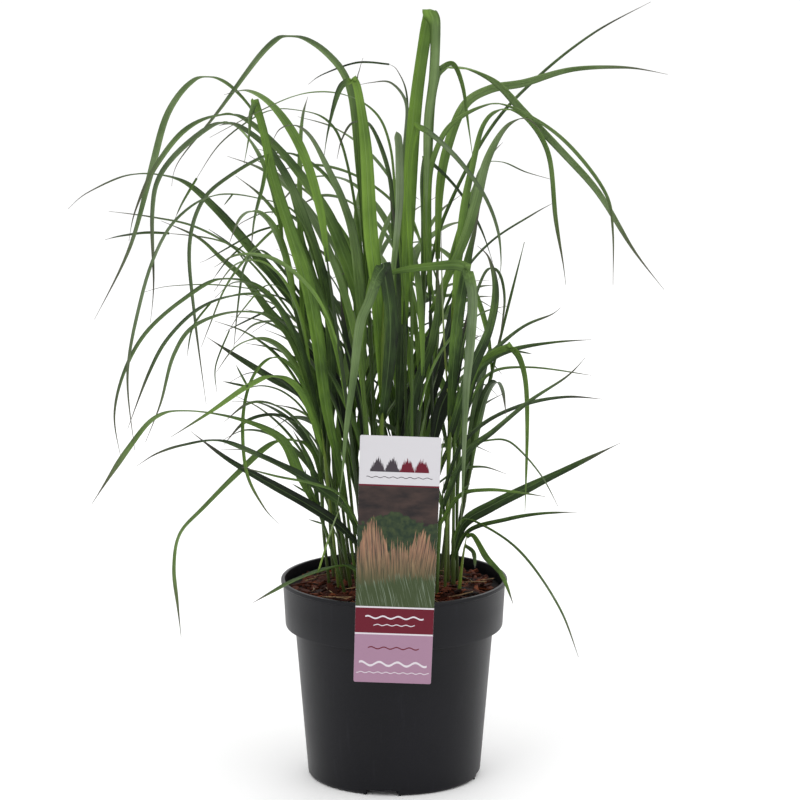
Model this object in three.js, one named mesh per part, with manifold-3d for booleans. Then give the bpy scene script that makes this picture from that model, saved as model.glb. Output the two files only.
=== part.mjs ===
// Feather reed grass in a nursery pot, in millimetres, +Z up.
// The origin is the middle of the pot's underside. The front of the pot, with its plant label, faces -Y.
//
// The pieces: a moulded pot, the compost in it, a top dressing of bark chips, a plastic plant label
// hooked over the rim, and the leafy stems. Each stem stands in its own hole through the bark and in
// the compost, and carries its blades fused to it. Every stem with its blades is one mesh.
import * as THREE from "three";
import { mergeVertices } from "three/addons/utils/BufferGeometryUtils.js";
import Module from "manifold-3d";

const wasm = await Module();
wasm.setup();
const { Manifold } = wasm;
const rad = THREE.MathUtils.degToRad;
const vec = (x, y, z) => new THREE.Vector3(x, y, z);

// ---------------------------------------------------------------- driving dimensions

const POT = {
  height: 171, // to the top of the rim
  rimRadius: 96, // outside of the rim bead
  beadHeight: 3.5,
  collarTop: 94.3, // outer radius of the collar just under the bead
  collarFoot: 92.3, // and at its lower edge
  collarDepth: 41, // from the rim down to the collar's lower edge
  bodyTop: 84.2, // outer radius of the body under the collar
  bodyFoot: 73.6, // and above the rounded foot
  footRound: 3.5,
  wall: 1.5,
  floor: 2.2,
  sides: 40,
};
const DRAIN = { count: 4, width: 27, height: 4.4, depth: 15, turn: -8, holeRadius: 4.5 };
const SOIL = {
  gap: 0.4, // between the pot's wall and what fills it
  compostTop: 153,
  barkTop: 162.5,
  crown: 2.5, // how much higher the bark lies in the middle
  holeRoom: 0.45, // between a stem and its hole
  stemFoot: 141, // height of the stems' lower ends, in the compost
};
const CHIP = { count: 80, length: [9, 20], width: [3.5, 7], thick: 2.6, seed: 11 };
const LABEL = {
  topWidth: 66.5,
  footWidth: 63.9,
  height: 208,
  thick: 0.8,
  foot: 105, // height of its lower edge above the ground
  footX: -1.5, // middle of its lower edge
  lean: 2, // degrees, its head to the right
  tongueWidth: 30,
  gap: 0.6, // between the label and the pot's rim
};
const STEM = { footRadius: 1.9, headRadius: 1.2 };
const BLADE = {
  keel: 1.2, // thickness in the middle
  swell: 0.35, // a leaf wider than oneLine grows by this share of the rest of its width
  clear: 0.4, // least distance to another stem's leaves
  oneLine: 3.6, // up to this width one line stands for the leaf
  step: 42, // length of its straight stretches
};

// The drawing sheet of the clump. Its blades are laid out as they look to an eye in front of the pot and
// a little above it. A point on the sheet is [across, up] in millimetres at the pot's axis, and its depth,
// the real Y of the point, then places it along the line of sight.
const SHEET = { distance: 3000, slope: rad(11.06), middle: [5, 336.3], aimHeight: 324 };

// ---------------------------------------------------------------- small tools

/** A repeatable random draw between 0 and 1: each call of the returned function gives the next one. */
function dice(seed) {
  let state = seed;
  return () => {
    state = (state * 1664525 + 1013904223) % 4294967296;
    return state / 4294967296;
  };
}

/** A closed three.js geometry as a solid that can be joined and cut. */
function solid(geometry) {
  const bare = geometry.index ? geometry.toNonIndexed() : geometry.clone();
  const spots = new THREE.BufferGeometry().setAttribute("position", bare.getAttribute("position"));
  const merged = mergeVertices(spots, 1e-4);
  return new Manifold(
    new wasm.Mesh({
      numProp: 3,
      vertProperties: merged.attributes.position.array,
      triVerts: new Uint32Array(merged.index.array),
    }),
  );
}

/** A solid as a named mesh of one material. */
function piece(name, made, material) {
  const { numProp, vertProperties, triVerts } = made.getMesh();
  const geometry = new THREE.BufferGeometry();
  geometry.setAttribute("position", new THREE.BufferAttribute(new Float32Array(vertProperties), numProp));
  geometry.setIndex(new THREE.BufferAttribute(new Uint32Array(triVerts), 1));
  geometry.computeVertexNormals();
  const mesh = new THREE.Mesh(geometry, material);
  mesh.name = name;
  return mesh;
}

/** A box of the given size about its own centre, turned and then moved. */
function block(size, at, turn = [0, 0, 0]) {
  const box = new THREE.BoxGeometry(...size);
  const euler = new THREE.Euler(...turn.map(rad), "ZYX");
  const turned = new THREE.Quaternion().setFromEuler(euler);
  box.applyMatrix4(new THREE.Matrix4().compose(vec(...at), turned, vec(1, 1, 1)));
  return solid(box);
}

/** A solid turned about Z from [radius, height] points that run up the outside and close on the axis. */
function turned(points, sides) {
  const lathe = new THREE.LatheGeometry(points.map(([r, z]) => new THREE.Vector2(r, z)), sides);
  lathe.rotateX(Math.PI / 2);
  return solid(lathe);
}

// ---------------------------------------------------------------- pot, compost, bark, label

const material = (color, roughness) => new THREE.MeshStandardMaterial({ color, roughness, metalness: 0 });
const potPlastic = material(0x36373a, 0.55);
const compostBrown = material(0x2a1d16, 0.95);
const barkBrown = material(0x6b3524, 0.9);
const labelCard = material(0xe9e4ea, 0.35);
const leafGreens = [0x4d7a2c, 0x3f6a2e, 0x5a8a33, 0x35592b].map((green) => material(green, 0.5));

const innerRadius = (z) => {
  const bodyTopZ = POT.height - POT.collarDepth;
  if (z >= bodyTopZ + 2) return POT.collarFoot - POT.wall;
  return THREE.MathUtils.mapLinear(z, POT.footRound, bodyTopZ, POT.bodyFoot, POT.bodyTop) - POT.wall;
};

function pot() {
  const { height, wall, floor, sides } = POT;
  const collarZ = height - POT.collarDepth;
  const round = POT.footRound;
  const arc = [0, 30, 60, 90].map((a) => [
    POT.bodyFoot - round + round * Math.sin(rad(a)),
    round - round * Math.cos(rad(a)),
  ]);
  const outside = [
    [0, 0],
    ...arc,
    [POT.bodyTop, collarZ],
    [POT.collarFoot - 1, collarZ],
    [POT.collarFoot, collarZ + 1],
    [POT.collarTop, height - POT.beadHeight],
    [POT.rimRadius, height - POT.beadHeight + 0.8],
    [POT.rimRadius, height - 0.8],
    [POT.rimRadius - 0.8, height],
  ];
  const inside = [
    [POT.collarTop - wall, height],
    [POT.collarFoot - wall, collarZ + 3],
    [POT.bodyTop - wall, collarZ + 1],
    [POT.bodyFoot - wall + 0.3, floor + 4],
    [POT.bodyFoot - wall - 3, floor],
    [0, floor],
  ];
  const roomFor = (tall, grown, low) => {
    const parts = [];
    for (let i = 0; i < DRAIN.count; i++) {
      const angle = DRAIN.turn + (360 / DRAIN.count) * i;
      const at = [POT.bodyFoot * Math.sin(rad(angle)), -POT.bodyFoot * Math.cos(rad(angle)), low + tall / 2];
      parts.push(block([DRAIN.width + 2 * grown, 2 * (DRAIN.depth + grown), tall], at, [0, 0, angle]));
    }
    return Manifold.union(parts);
  };
  const shell = turned([...outside, ...inside], sides);
  const body = turned([...outside, [0, height]], sides);
  const pockets = roomFor(DRAIN.height + floor, floor, 0).intersect(body);
  let made = shell.add(pockets).subtract(roomFor(2 * DRAIN.height, 0, -DRAIN.height));
  for (let i = 0; i < DRAIN.count; i++) {
    const angle = rad(DRAIN.turn + (360 / DRAIN.count) * i);
    const r = POT.bodyFoot - DRAIN.depth / 2 - 1;
    const hole = new THREE.CylinderGeometry(DRAIN.holeRadius, DRAIN.holeRadius, 3 * floor, 8);
    hole.rotateX(Math.PI / 2);
    hole.translate(r * Math.sin(angle), -r * Math.cos(angle), DRAIN.height + floor / 2);
    made = made.subtract(solid(hole));
  }
  return made;
}

/** Height of the bark's surface at a distance from the axis. */
const barkHeight = (r) => SOIL.barkTop + SOIL.crown * (1 - (r / (POT.collarFoot - POT.wall)) ** 2);

function compost(holes) {
  const low = POT.floor + DRAIN.height + SOIL.gap;
  const wallAt = (z) => innerRadius(z) - SOIL.gap;
  const collarZ = POT.height - POT.collarDepth;
  const profile = [
    [0, low],
    [wallAt(low + 1) - 1.2, low],
    [wallAt(low + 1) - 0.2, low + 1.5],
    [POT.bodyTop - POT.wall - SOIL.gap, collarZ + 1.5],
    [POT.collarFoot - POT.wall - SOIL.gap, collarZ + 3.8],
    [POT.collarFoot - POT.wall - SOIL.gap, SOIL.compostTop],
    [0, SOIL.compostTop],
  ];
  return turned(profile, POT.sides).subtract(holes);
}

function bark(holes) {
  const edge = POT.collarFoot - POT.wall - SOIL.gap;
  const low = SOIL.compostTop + 0.3;
  const rings = [1, 0.72, 0.42].map((share) => [edge * share, barkHeight(edge * share) - 1]);
  const bed = turned([[0, low], [edge, low], ...rings, [0, barkHeight(0) - 1]], POT.sides).subtract(holes);
  const draw = dice(CHIP.seed);
  const between = ([small, large]) => small + (large - small) * draw();
  const chips = [];
  for (let i = 0; i < CHIP.count; i++) {
    const r = (edge - 12) * Math.sqrt((i + 0.5) / CHIP.count);
    const around = rad(i * 137.5);
    const size = [between(CHIP.length), between(CHIP.width), CHIP.thick];
    const turn = [24 * (draw() - 0.5), 22 * (draw() - 0.5), 360 * draw()];
    const at = vec(r * Math.cos(around), r * Math.sin(around), barkHeight(r) - 0.9);
    const half = vec(Math.cos(rad(turn[2])), Math.sin(rad(turn[2])), 0).multiplyScalar(size[0] / 2);
    const [tail, head] = [at.clone().sub(half), at.clone().add(half)];
    const inWay = leafy.some(({ points }) => {
      const foot = vec(points[0].x, points[0].y, at.z);
      return apart(foot, foot.clone().add(vec(0, 0, 1)), tail, head) < size[1] / 2 + STEM.footRadius + 1;
    });
    if (!inWay) chips.push(block(size, at.toArray(), turn));
  }
  return bed.add(Manifold.union(chips));
}

/** A flat card in front of the rim, with a strap over the rim and a tongue behind it, inside the pot. */
function label() {
  const front = -(POT.rimRadius + LABEL.gap + LABEL.thick / 2);
  const half = [LABEL.footWidth / 2, LABEL.topWidth / 2];
  const outline = new THREE.Shape([
    new THREE.Vector2(-half[0], 0),
    new THREE.Vector2(half[0], 0),
    new THREE.Vector2(half[1], LABEL.height),
    new THREE.Vector2(-half[1], LABEL.height),
  ]);
  const card = new THREE.ExtrudeGeometry(outline, { depth: LABEL.thick, bevelEnabled: false });
  card.rotateX(Math.PI / 2).rotateY(rad(LABEL.lean));
  card.translate(LABEL.footX, front + LABEL.thick / 2, LABEL.foot);
  const strapZ = POT.height + LABEL.gap + LABEL.thick / 2;
  const back = -(POT.collarFoot - POT.wall - 5);
  const strap = block([LABEL.tongueWidth, back - front, LABEL.thick], [2, (front + back) / 2, strapZ]);
  const tongueFoot = barkHeight(POT.rimRadius) + 3.2;
  const tongue = block(
    [LABEL.tongueWidth, LABEL.thick, strapZ - tongueFoot],
    [2, back, (strapZ + tongueFoot) / 2],
  );
  return Manifold.union([solid(card), strap, tongue]);
}

// ---------------------------------------------------------------- the clump's drawing sheet

const across = vec(1, 0, 0);
const upward = vec(0, Math.sin(SHEET.slope), Math.cos(SHEET.slope));
const inward = vec(0, Math.cos(SHEET.slope), -Math.sin(SHEET.slope));
const aim = vec(SHEET.middle[0], 0, SHEET.aimHeight);
const eye = aim.clone().addScaledVector(inward, -SHEET.distance);

/** The real point at a depth that shows at [u, v] on the sheet. */
function place(u, v, depth) {
  const [right, up] = [u - SHEET.middle[0], v - SHEET.middle[1]];
  const mark = aim.clone().addScaledVector(across, right).addScaledVector(upward, up);
  return eye.clone().lerp(mark, (depth - eye.y) / (mark.y - eye.y));
}

/** Where a real point shows on the sheet, and its depth. */
function seen(point) {
  const line = point.clone().sub(eye);
  const scale = SHEET.distance / line.dot(inward);
  return [SHEET.middle[0] + scale * line.dot(across), SHEET.middle[1] + scale * line.dot(upward), point.y];
}

/** Evenly spaced [u, v] marks along a smooth course through the given ones. */
function smooth(course, segments) {
  const fine = [];
  for (let i = 0; i + 1 < course.length; i++) {
    const [a, b, c] = [course[Math.max(i - 1, 0)], course[i], course[i + 1]];
    const d = course[Math.min(i + 2, course.length - 1)];
    for (let step = 0; step < 8; step++) {
      const t = step / 8;
      fine.push([0, 1].map((k) => catmullRom(a[k], b[k], c[k], d[k], t)));
    }
  }
  fine.push(course[course.length - 1]);
  const run = [0];
  for (let i = 1; i < fine.length; i++) {
    run.push(run[i - 1] + Math.hypot(fine[i][0] - fine[i - 1][0], fine[i][1] - fine[i - 1][1]));
  }
  const marks = [];
  let i = 0;
  for (let n = 0; n <= segments; n++) {
    const at = (run[run.length - 1] * n) / segments;
    while (i < run.length - 2 && run[i + 1] < at) i++;
    const t = (at - run[i]) / (run[i + 1] - run[i]);
    marks.push([0, 1].map((k) => fine[i][k] + (fine[i + 1][k] - fine[i][k]) * t));
  }
  return marks;
}

function catmullRom(a, b, c, d, t) {
  const bend = 2 * a - 5 * b + 4 * c - d;
  const cube = 3 * b - a - 3 * c + d;
  return b + 0.5 * t * (c - a + t * (bend + t * cube));
}

/** The value at a share of the way along an evenly spaced list. */
function along(list, share) {
  const at = share * (list.length - 1);
  const i = Math.min(Math.floor(at), list.length - 2);
  return list[i] + (list[i + 1] - list[i]) * (at - i);
}

// ---------------------------------------------------------------- leafy stems laid out by hand

// foot: where the stem enters the bark, as real [x, y]. rise: the stem's course, as [u, v, depth].
// Each leaf has the height on the sheet where it leaves the stem (from), or the earlier leaf and the share
// of it where it starts (on), for the hanging part of a folded leaf. course is its [u, v] course, width its
// widths from root to tip, deep the depth of its tip, roll how far its flat turns from the eye, in degrees.
const STEMS = [
  {
    foot: [-12, 16],
    rise: [[-16, 300, 20], [-22, 436, 26]],
    leaves: [
      { from: 400, course: [[-25, 470], [-30, 530], [-37, 597], [-57, 628], [-85, 642], [-108, 631],
        [-149, 577], [-181, 537], [-187, 516]], width: [3, 5, 6, 5.5, 4, 1], deep: 60, roll: 35 },
      { from: 380, course: [[-30, 480], [-42, 545], [-56, 571], [-81, 580], [-109, 578], [-145, 553],
        [-167, 521]], width: [2, 3, 2.5, 2, 1], deep: -10, roll: 40 },
      { from: 420, course: [[-29, 540], [-31, 600], [-29, 614], [-26, 624]], width: [2, 2.5, 1], deep: 40,
        roll: 20 },
    ],
  },
  {
    foot: [-37, 30],
    rise: [[-50, 300, 38], [-60, 400, 44]],
    leaves: [
      { from: 380, course: [[-72, 450], [-88, 515], [-104, 552], [-122, 584], [-145, 605], [-168, 605],
        [-190, 577], [-204, 528], [-222, 464], [-252, 404]], width: [3, 4, 2.5, 2, 5, 6.5, 4, 1], deep: 75,
        roll: 30 },
      { from: 320, course: [[-54, 345], [-81, 384], [-104, 409], [-125, 437], [-145, 455], [-165, 473],
        [-196, 487]], width: [3, 7, 8, 6, 3, 1], deep: 90, roll: 25 },
      { from: 340, course: [[-64, 372], [-90, 413], [-125, 456], [-165, 481], [-203, 490], [-240, 495]],
        width: [2, 3, 2.5, 1], deep: 120, roll: 45 },
    ],
  },
  {
    foot: [-20, -8],
    rise: [[-24, 300, -10], [-29, 405, -10]],
    leaves: [
      { from: 370, course: [[-30, 421], [-45, 466], [-61, 500], [-96, 546], [-127, 573], [-150, 575],
        [-178, 561], [-203, 528], [-218, 494], [-223, 470]], width: [4, 11, 9, 6, 5, 4.5, 1], deep: -30,
        roll: 25 },
      { from: 390, course: [[-34, 470], [-50, 515], [-76, 539], [-103, 543], [-139, 524], [-162, 502],
        [-172, 465], [-168, 410], [-158, 333]], width: [3, 4, 3.5, 3.5, 3, 1], deep: 20, roll: 30 },
      { from: 350, course: [[-27, 400], [-33, 466], [-43, 502], [-57, 533], [-70, 557], [-83, 567],
        [-96, 564], [-103, 552]], width: [4, 7.5, 7, 5, 1], deep: -60, roll: 25 },
      { from: 280, course: [[-27, 325], [-34, 355], [-41, 390], [-45, 424]], width: [4, 6.5, 6, 1],
        deep: 10, roll: 25 },
    ],
  },
  {
    foot: [-44, 4],
    rise: [[-50, 260, 4], [-53, 352, 4]],
    leaves: [
      { from: 330, course: [[-53, 385], [-58, 432], [-80, 500], [-97, 535], [-115, 556], [-143, 569.5],
        [-172, 553], [-196, 526], [-203, 495], [-202, 434], [-205, 401]],
        width: [5, 8.5, 7.5, 5.5, 5, 4, 1], deep: -50, roll: 25 },
      { from: 345, course: [[-60, 430], [-80, 490], [-115, 506], [-152, 508], [-181, 490], [-199, 462],
        [-213, 419], [-224, 358], [-218, 294]], width: [3, 3, 2.5, 4, 3.5, 1], deep: -90, roll: 40 },
    ],
  },
  {
    foot: [-52, 20],
    rise: [[-55, 260, 24], [-55, 340, 28]],
    leaves: [
      { from: 320, course: [[-62, 390], [-80, 415], [-115, 457], [-150, 497], [-180, 521], [-219, 526],
        [-257, 511], [-274, 497]], width: [5, 9, 8, 6, 3.5, 1], deep: 40, roll: 20 },
      { from: 285, course: [[-62, 325], [-81, 343], [-104, 355], [-128, 370], [-157, 389]],
        width: [4, 6.5, 6, 1], deep: 70, roll: 20 },
      { from: 310, course: [[-78, 400], [-115, 450], [-146, 470], [-195, 477]], width: [2, 3, 2, 1],
        deep: 100, roll: 40 },
    ],
  },
  {
    foot: [-31, -22],
    rise: [[-36, 215, -24], [-42, 262, -27]],
    leaves: [
      { from: 245, course: [[-46, 280], [-57, 330], [-64, 385], [-73, 433], [-87, 477], [-102, 524],
        [-110, 562], [-118, 591]], width: [4, 7, 9.5, 10, 8, 5], deep: -45, roll: 20 },
      { on: 0, share: 0.99, course: [[-121, 575], [-122, 558], [-126, 535]], width: [5, 4, 1], deep: -50,
        roll: 30 },
      { on: 0, share: 0.86, course: [[-110, 518], [-117, 490], [-120, 465]], width: [4, 3, 1], deep: -58,
        roll: 30 },
    ],
  },
  {
    foot: [-8, -34],
    rise: [[-10, 270, -37], [-10, 362, -42], [-8, 434, -46]],
    leaves: [
      { from: 335, course: [[-15, 430], [-20, 478], [-24, 550], [-31, 598], [-37, 607]],
        width: [4, 9, 10, 8.5, 5], deep: -55, roll: 20 },
      { on: 0, share: 0.99, course: [[-44, 600], [-50, 585], [-56, 560], [-59, 540]], width: [5, 4, 3, 1],
        deep: -62, roll: 20 },
      { from: 390, course: [[-2, 440], [4, 500], [4, 545], [2, 562]], width: [3, 5, 6, 6], deep: -62,
        roll: 30 },
      { from: 320, course: [[-4, 370], [-3, 410], [-9, 451]], width: [5, 9, 10, 8.5], deep: -86, roll: 20 },
      { on: 3, share: 0.98, course: [[-14, 440], [-21, 420], [-29, 400], [-34, 358], [-40, 314], [-44, 269],
        [-49, 242]], width: [8, 7.4, 6.8, 6, 5, 3.5, 1.5, 1], deep: -112, roll: 15 },
      { from: 428, course: [[-4, 442], [16, 447], [36, 449], [53, 450], [63, 446]],
        width: [2, 4, 5.4, 6.4, 6.4], deep: -84, roll: 15 },
      { on: 5, share: 0.98, course: [[66, 425], [64.5, 387], [61, 350], [59.5, 314], [57.8, 263], [56, 231]],
        width: [6.6, 7, 5.8, 4.2, 2.6, 1], deep: -104, roll: 15 },
    ],
  },
  {
    foot: [3, 5],
    rise: [[3, 330, 7], [4, 456, 9]],
    leaves: [
      { from: 425, course: [[0, 470], [-2, 510], [-9, 542], [-21, 568], [-35, 569], [-44, 555], [-48, 539]],
        width: [4, 5.5, 5.5, 5, 3, 1], deep: -10, roll: 40 },
      { from: 440, course: [[7, 520], [10, 560], [9.5, 587], [-3, 603], [-20, 603], [-30, 601]],
        width: [4, 6, 5.5, 5, 3, 1], deep: 25, roll: 40 },
      { from: 448, course: [[9, 540], [11, 590], [3, 613], [-5, 619]], width: [2, 2.5, 2, 1], deep: 50,
        roll: 20 },
      { from: 315, course: [[6, 370], [6, 420], [3, 470], [-4, 510]], width: [5, 8, 9, 6, 1], deep: -20,
        roll: 20 },
      { from: 296, course: [[10, 330], [18, 356], [28, 385], [38, 412]], width: [5, 7, 5, 1], deep: 30,
        roll: 20 },
    ],
  },
  {
    foot: [10, -14],
    rise: [[10, 320, -16], [8, 432, -17]],
    leaves: [
      { from: 400, course: [[12, 500], [17, 580], [25, 640], [30.5, 665]], width: [5, 9.5, 10.5, 9],
        deep: -10, roll: 25 },
      { on: 0, share: 0.99, course: [[34, 650], [33, 610], [28, 570], [27, 520], [27, 470]],
        width: [8, 8, 6, 4, 1], deep: -32, roll: 30 },
      { from: 415, course: [[1, 510], [-4, 552], [-16, 578], [-42, 593], [-75, 594], [-109, 581],
        [-155, 557]], width: [2, 2.5, 2.5, 2, 1], deep: -70, roll: 40 },
      { from: 285, course: [[18, 345], [31, 382], [37, 420], [36, 452]], width: [4, 8, 6, 1], deep: -34,
        roll: 20 },
    ],
  },
  {
    foot: [21, 12],
    rise: [[23, 330, 14], [26, 465, 16]],
    leaves: [
      { from: 450, course: [[27, 560], [36, 608], [55, 616], [84, 605], [111, 577], [142, 545], [172, 511],
        [201, 463], [227, 429]], width: [3, 3, 3.5, 5.5, 7.5, 6.5, 4, 1], deep: 50, roll: 30 },
      { from: 440, course: [[30, 540], [33, 590], [39, 619]], width: [3, 4, 4], deep: -4, roll: 25 },
      { on: 1, share: 0.98, course: [[50, 619], [58, 600], [62, 572], [66, 541]], width: [4, 4, 3, 1],
        deep: -12, roll: 30 },
      { from: 305, course: [[29, 336], [38, 365], [46, 395], [52, 425], [56, 452]], width: [5, 9, 9, 6, 1],
        deep: 40, roll: 20 },
    ],
  },
  {
    foot: [32, -6],
    rise: [[32, 320, -7], [30, 442, -8]],
    leaves: [
      { from: 425, course: [[28.5, 510], [35, 546], [51, 571], [85, 585.7], [120, 572], [150, 548],
        [178, 510], [184, 478], [184, 433]], width: [4, 5.5, 4.5, 4, 3, 1], deep: -50, roll: 25 },
      { from: 410, course: [[56, 465], [68, 500], [78, 538], [94, 566], [111, 573], [124, 562]],
        width: [4, 7.5, 7.5, 5, 1], deep: -75, roll: 25 },
      { from: 295, course: [[39, 328], [48, 350], [56, 380], [62, 412]], width: [5, 9.5, 9, 5, 1],
        deep: -40, roll: 20 },
    ],
  },
  {
    foot: [46, 6],
    rise: [[46, 290, 7], [50, 425, 8]],
    leaves: [
      { from: 405, course: [[57, 490], [66, 535], [75, 568], [90, 580.7], [111, 574], [130, 543],
        [136, 489], [142, 452], [144.4, 433]], width: [4, 7.5, 6, 4, 4.5, 4, 1], deep: 40, roll: 30 },
      { from: 412, course: [[62, 490], [73, 531], [90, 536.6], [111, 528], [135, 521]], width: [2, 3, 2, 1],
        deep: 90, roll: 30 },
      { from: 325, course: [[66, 360], [88, 382], [110, 399], [132, 408], [140, 414]],
        width: [4, 5, 4, 3, 1], deep: 70, roll: 25 },
    ],
  },
  {
    foot: [30, 34],
    rise: [[34, 320, 37], [37, 480, 40]],
    leaves: [
      { from: 455, course: [[38, 513], [45, 550], [59, 584], [81, 598], [109, 603], [150, 614.5],
        [195, 616], [230, 610]], width: [4, 7, 7, 6, 4, 1], deep: 70, roll: 25 },
      { from: 395, course: [[56, 440], [82, 470], [116, 492], [134, 502]], width: [2, 3, 2, 1], deep: 100,
        roll: 30 },
    ],
  },
  {
    foot: [14, 44],
    rise: [[18, 320, 48], [26, 442, 52]],
    leaves: [
      { from: 425, course: [[42, 490], [80, 563], [121, 608], [168, 645], [216, 671]],
        width: [3, 3, 2.5, 1], deep: 105, roll: 20 },
      { from: 400, course: [[24, 480], [23, 520], [26, 543]], width: [3, 3.5, 3.5], deep: 40, roll: 30 },
      { on: 1, share: 0.98, course: [[44, 524], [60, 504], [74, 478], [83, 452]], width: [3.5, 3, 2.5, 1],
        deep: 25, roll: 30 },
    ],
  },
  {
    foot: [15, -34],
    rise: [[15, 320, -37], [15, 452, -40]],
    leaves: [
      { from: 436, course: [[12, 500], [14, 545], [20, 570]], width: [4, 4.5, 4.5], deep: -60, roll: 25 },
      { on: 0, share: 0.98, course: [[36, 556], [56, 536], [76, 508], [87, 480], [90, 453], [88, 437]],
        width: [4, 4, 3, 2.5, 1], deep: -95, roll: 25 },
      { from: 285, course: [[2, 330], [-14, 372], [-22, 425]], width: [4, 7, 5, 1], deep: -72, roll: 25 },
    ],
  },
  {
    foot: [43, -22],
    rise: [[45, 260, -24], [48, 340, -26]],
    leaves: [
      { from: 320, course: [[52, 390], [60, 445], [68, 480], [73, 502]], width: [5, 8.5, 7, 1], deep: -30,
        roll: 20 },
      { from: 305, course: [[62, 355], [79, 395], [85, 428], [80, 455], [70, 466]],
        width: [5, 8, 8.5, 6, 1], deep: -80, roll: 30 },
      { from: 330, course: [[62, 400], [76, 443], [88, 444], [93, 420], [88, 384]], width: [2, 3, 3, 1],
        deep: -45, roll: 35 },
    ],
  },
  {
    foot: [54, 14],
    rise: [[53, 250, 15], [56, 322, 17]],
    leaves: [
      { from: 295, course: [[65, 348], [78, 368], [100, 379], [135, 385], [166, 387]],
        width: [4, 5.5, 5, 3, 1], deep: 60, roll: 25 },
      { from: 305, course: [[67, 358], [80, 374], [99, 382.5]], width: [3, 5, 5], deep: -8, roll: 30 },
      { on: 1, share: 0.98, course: [[105.5, 372], [111, 350], [112, 310], [110, 242]],
        width: [5, 4, 2.5, 1], deep: -30, roll: 25 },
      { from: 312, course: [[77, 356], [112, 364], [166, 357]], width: [2, 3, 2, 1], deep: 100, roll: 30 },
    ],
  },
  {
    foot: [36, -40],
    rise: [[38, 225, -42], [42, 268, -44]],
    leaves: [
      { from: 245, course: [[60.6, 291], [83, 310], [113, 335], [145, 356], [161, 372]],
        width: [4, 5.5, 4.5, 3, 1], deep: -75, roll: 25 },
      { from: 258, course: [[55, 296], [77, 318], [110, 333], [145, 339], [175, 337]],
        width: [3, 4, 3.5, 1], deep: -20, roll: 30 },
      { from: 232, course: [[55, 256], [77, 261], [103, 259], [127, 255]], width: [3, 4, 3, 1], deep: -105,
        roll: 30 },
    ],
  },
  {
    foot: [50, -10],
    rise: [[50, 240, -11], [51, 330, -12]],
    leaves: [
      { from: 205, course: [[58, 232], [83, 248], [117, 265], [150, 281], [190, 300]],
        width: [5, 8.5, 7.5, 5, 1], deep: -10, roll: 20 },
      { from: 200, course: [[62, 226], [94, 236], [124, 241], [154, 242]], width: [3, 4, 3, 1], deep: -60,
        roll: 30 },
      { from: 218, course: [[58, 236], [77, 230], [102, 213], [123, 188], [142, 156], [155, 120]],
        width: [2.5, 2.5, 2.5, 1], deep: -90, roll: 30 },
      { from: 300, course: [[58, 345], [63, 370], [64, 395]], width: [4, 6, 1], deep: 10, roll: 20 },
    ],
  },
  {
    foot: [55, -24],
    rise: [[58, 205, -26], [61.5, 224, -28]],
    leaves: [
      { from: 214, course: [[67, 208], [68, 195]], width: [3, 4, 1], deep: -40, roll: 20 },
      { from: 221, course: [[67, 222], [78, 204], [91, 189], [100, 165]], width: [3, 5.5, 4, 1], deep: -78,
        roll: 25 },
    ],
  },
  {
    foot: [-42, -32],
    rise: [[-57, 225, -38], [-70, 258, -44]],
    leaves: [
      { from: 248, course: [[-81, 277], [-95, 303], [-128, 319], [-170, 327], [-200, 322], [-223, 296],
        [-254, 249]], width: [5, 8.5, 6, 4, 3.5, 4.5, 1], deep: -95, roll: 20 },
      { from: 240, course: [[-68, 274], [-74, 291], [-85, 311]], width: [3, 4.5, 1], deep: -30, roll: 20 },
    ],
  },
  {
    foot: [-55, -8],
    rise: [[-60, 240, -11], [-62, 345, -16]],
    leaves: [
      { from: 330, course: [[-80, 385], [-108, 427], [-145, 438], [-178, 420], [-209, 392], [-227, 359],
        [-235, 323], [-230, 289]], width: [3, 5, 4.5, 4, 4, 1], deep: -40, roll: 35 },
      { from: 315, course: [[-78, 378], [-100, 418], [-128, 425], [-162, 414], [-189, 389], [-206, 359],
        [-224, 312]], width: [3, 5, 5, 4, 1], deep: -90, roll: 35 },
      { from: 300, course: [[-78, 365], [-99, 402], [-130, 410.5], [-167, 399], [-185, 374], [-196, 334],
        [-209, 301]], width: [3, 5, 4.5, 4, 1], deep: 10, roll: 35 },
      { from: 265, course: [[-68, 292], [-82, 302], [-103, 299], [-130, 276], [-160, 246], [-180, 224],
        [-185, 196], [-182, 165], [-179, 137]], width: [3, 5, 5.5, 4, 2.5, 3.5, 1], deep: -110, roll: 30 },
    ],
  },
  {
    foot: [-25, -46],
    rise: [[-28, 210, -48], [-30, 235, -50]],
    leaves: [
      { from: 222, course: [[-39, 244], [-57, 258], [-81, 274], [-115, 290], [-147, 302], [-178, 298],
        [-200, 291], [-216, 281]], width: [4, 7.5, 7, 5, 3.5, 1], deep: -90, roll: 20 },
      { from: 212, course: [[-45, 230], [-70, 247], [-104, 266], [-139, 286], [-171, 310]],
        width: [4, 7.5, 6.5, 4, 1], deep: -58, roll: 20 },
      { from: 230, course: [[-45, 256], [-68, 266], [-98, 272], [-128, 280]], width: [2, 3, 2, 1],
        deep: -125, roll: 30 },
      { from: 190, course: [[-42, 197], [-64, 192], [-87, 183], [-118.5, 166]], width: [4, 7.5, 5, 1],
        deep: -82, roll: 30 },
    ],
  },
  {
    foot: [-47, -19],
    rise: [[-54, 250, -28], [-61, 312, -38]],
    leaves: [
      { from: 300, course: [[-76, 348], [-93, 370], [-108, 369], [-121, 350], [-127, 318], [-124, 276],
        [-110, 247], [-97, 232]], width: [3, 4, 3.5, 3.5, 3, 1], deep: -70, roll: 35 },
      { from: 290, course: [[-78, 342], [-100, 356], [-124, 347], [-156, 325], [-188, 305]],
        width: [3, 5, 5, 4, 1], deep: -85, roll: 25 },
    ],
  },
  {
    foot: [-30, 12],
    rise: [[-44, 330, 17], [-56, 425, 20]],
    leaves: [
      { from: 408, course: [[-70, 468], [-85, 490], [-106, 494], [-125, 487], [-134, 481]],
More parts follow.
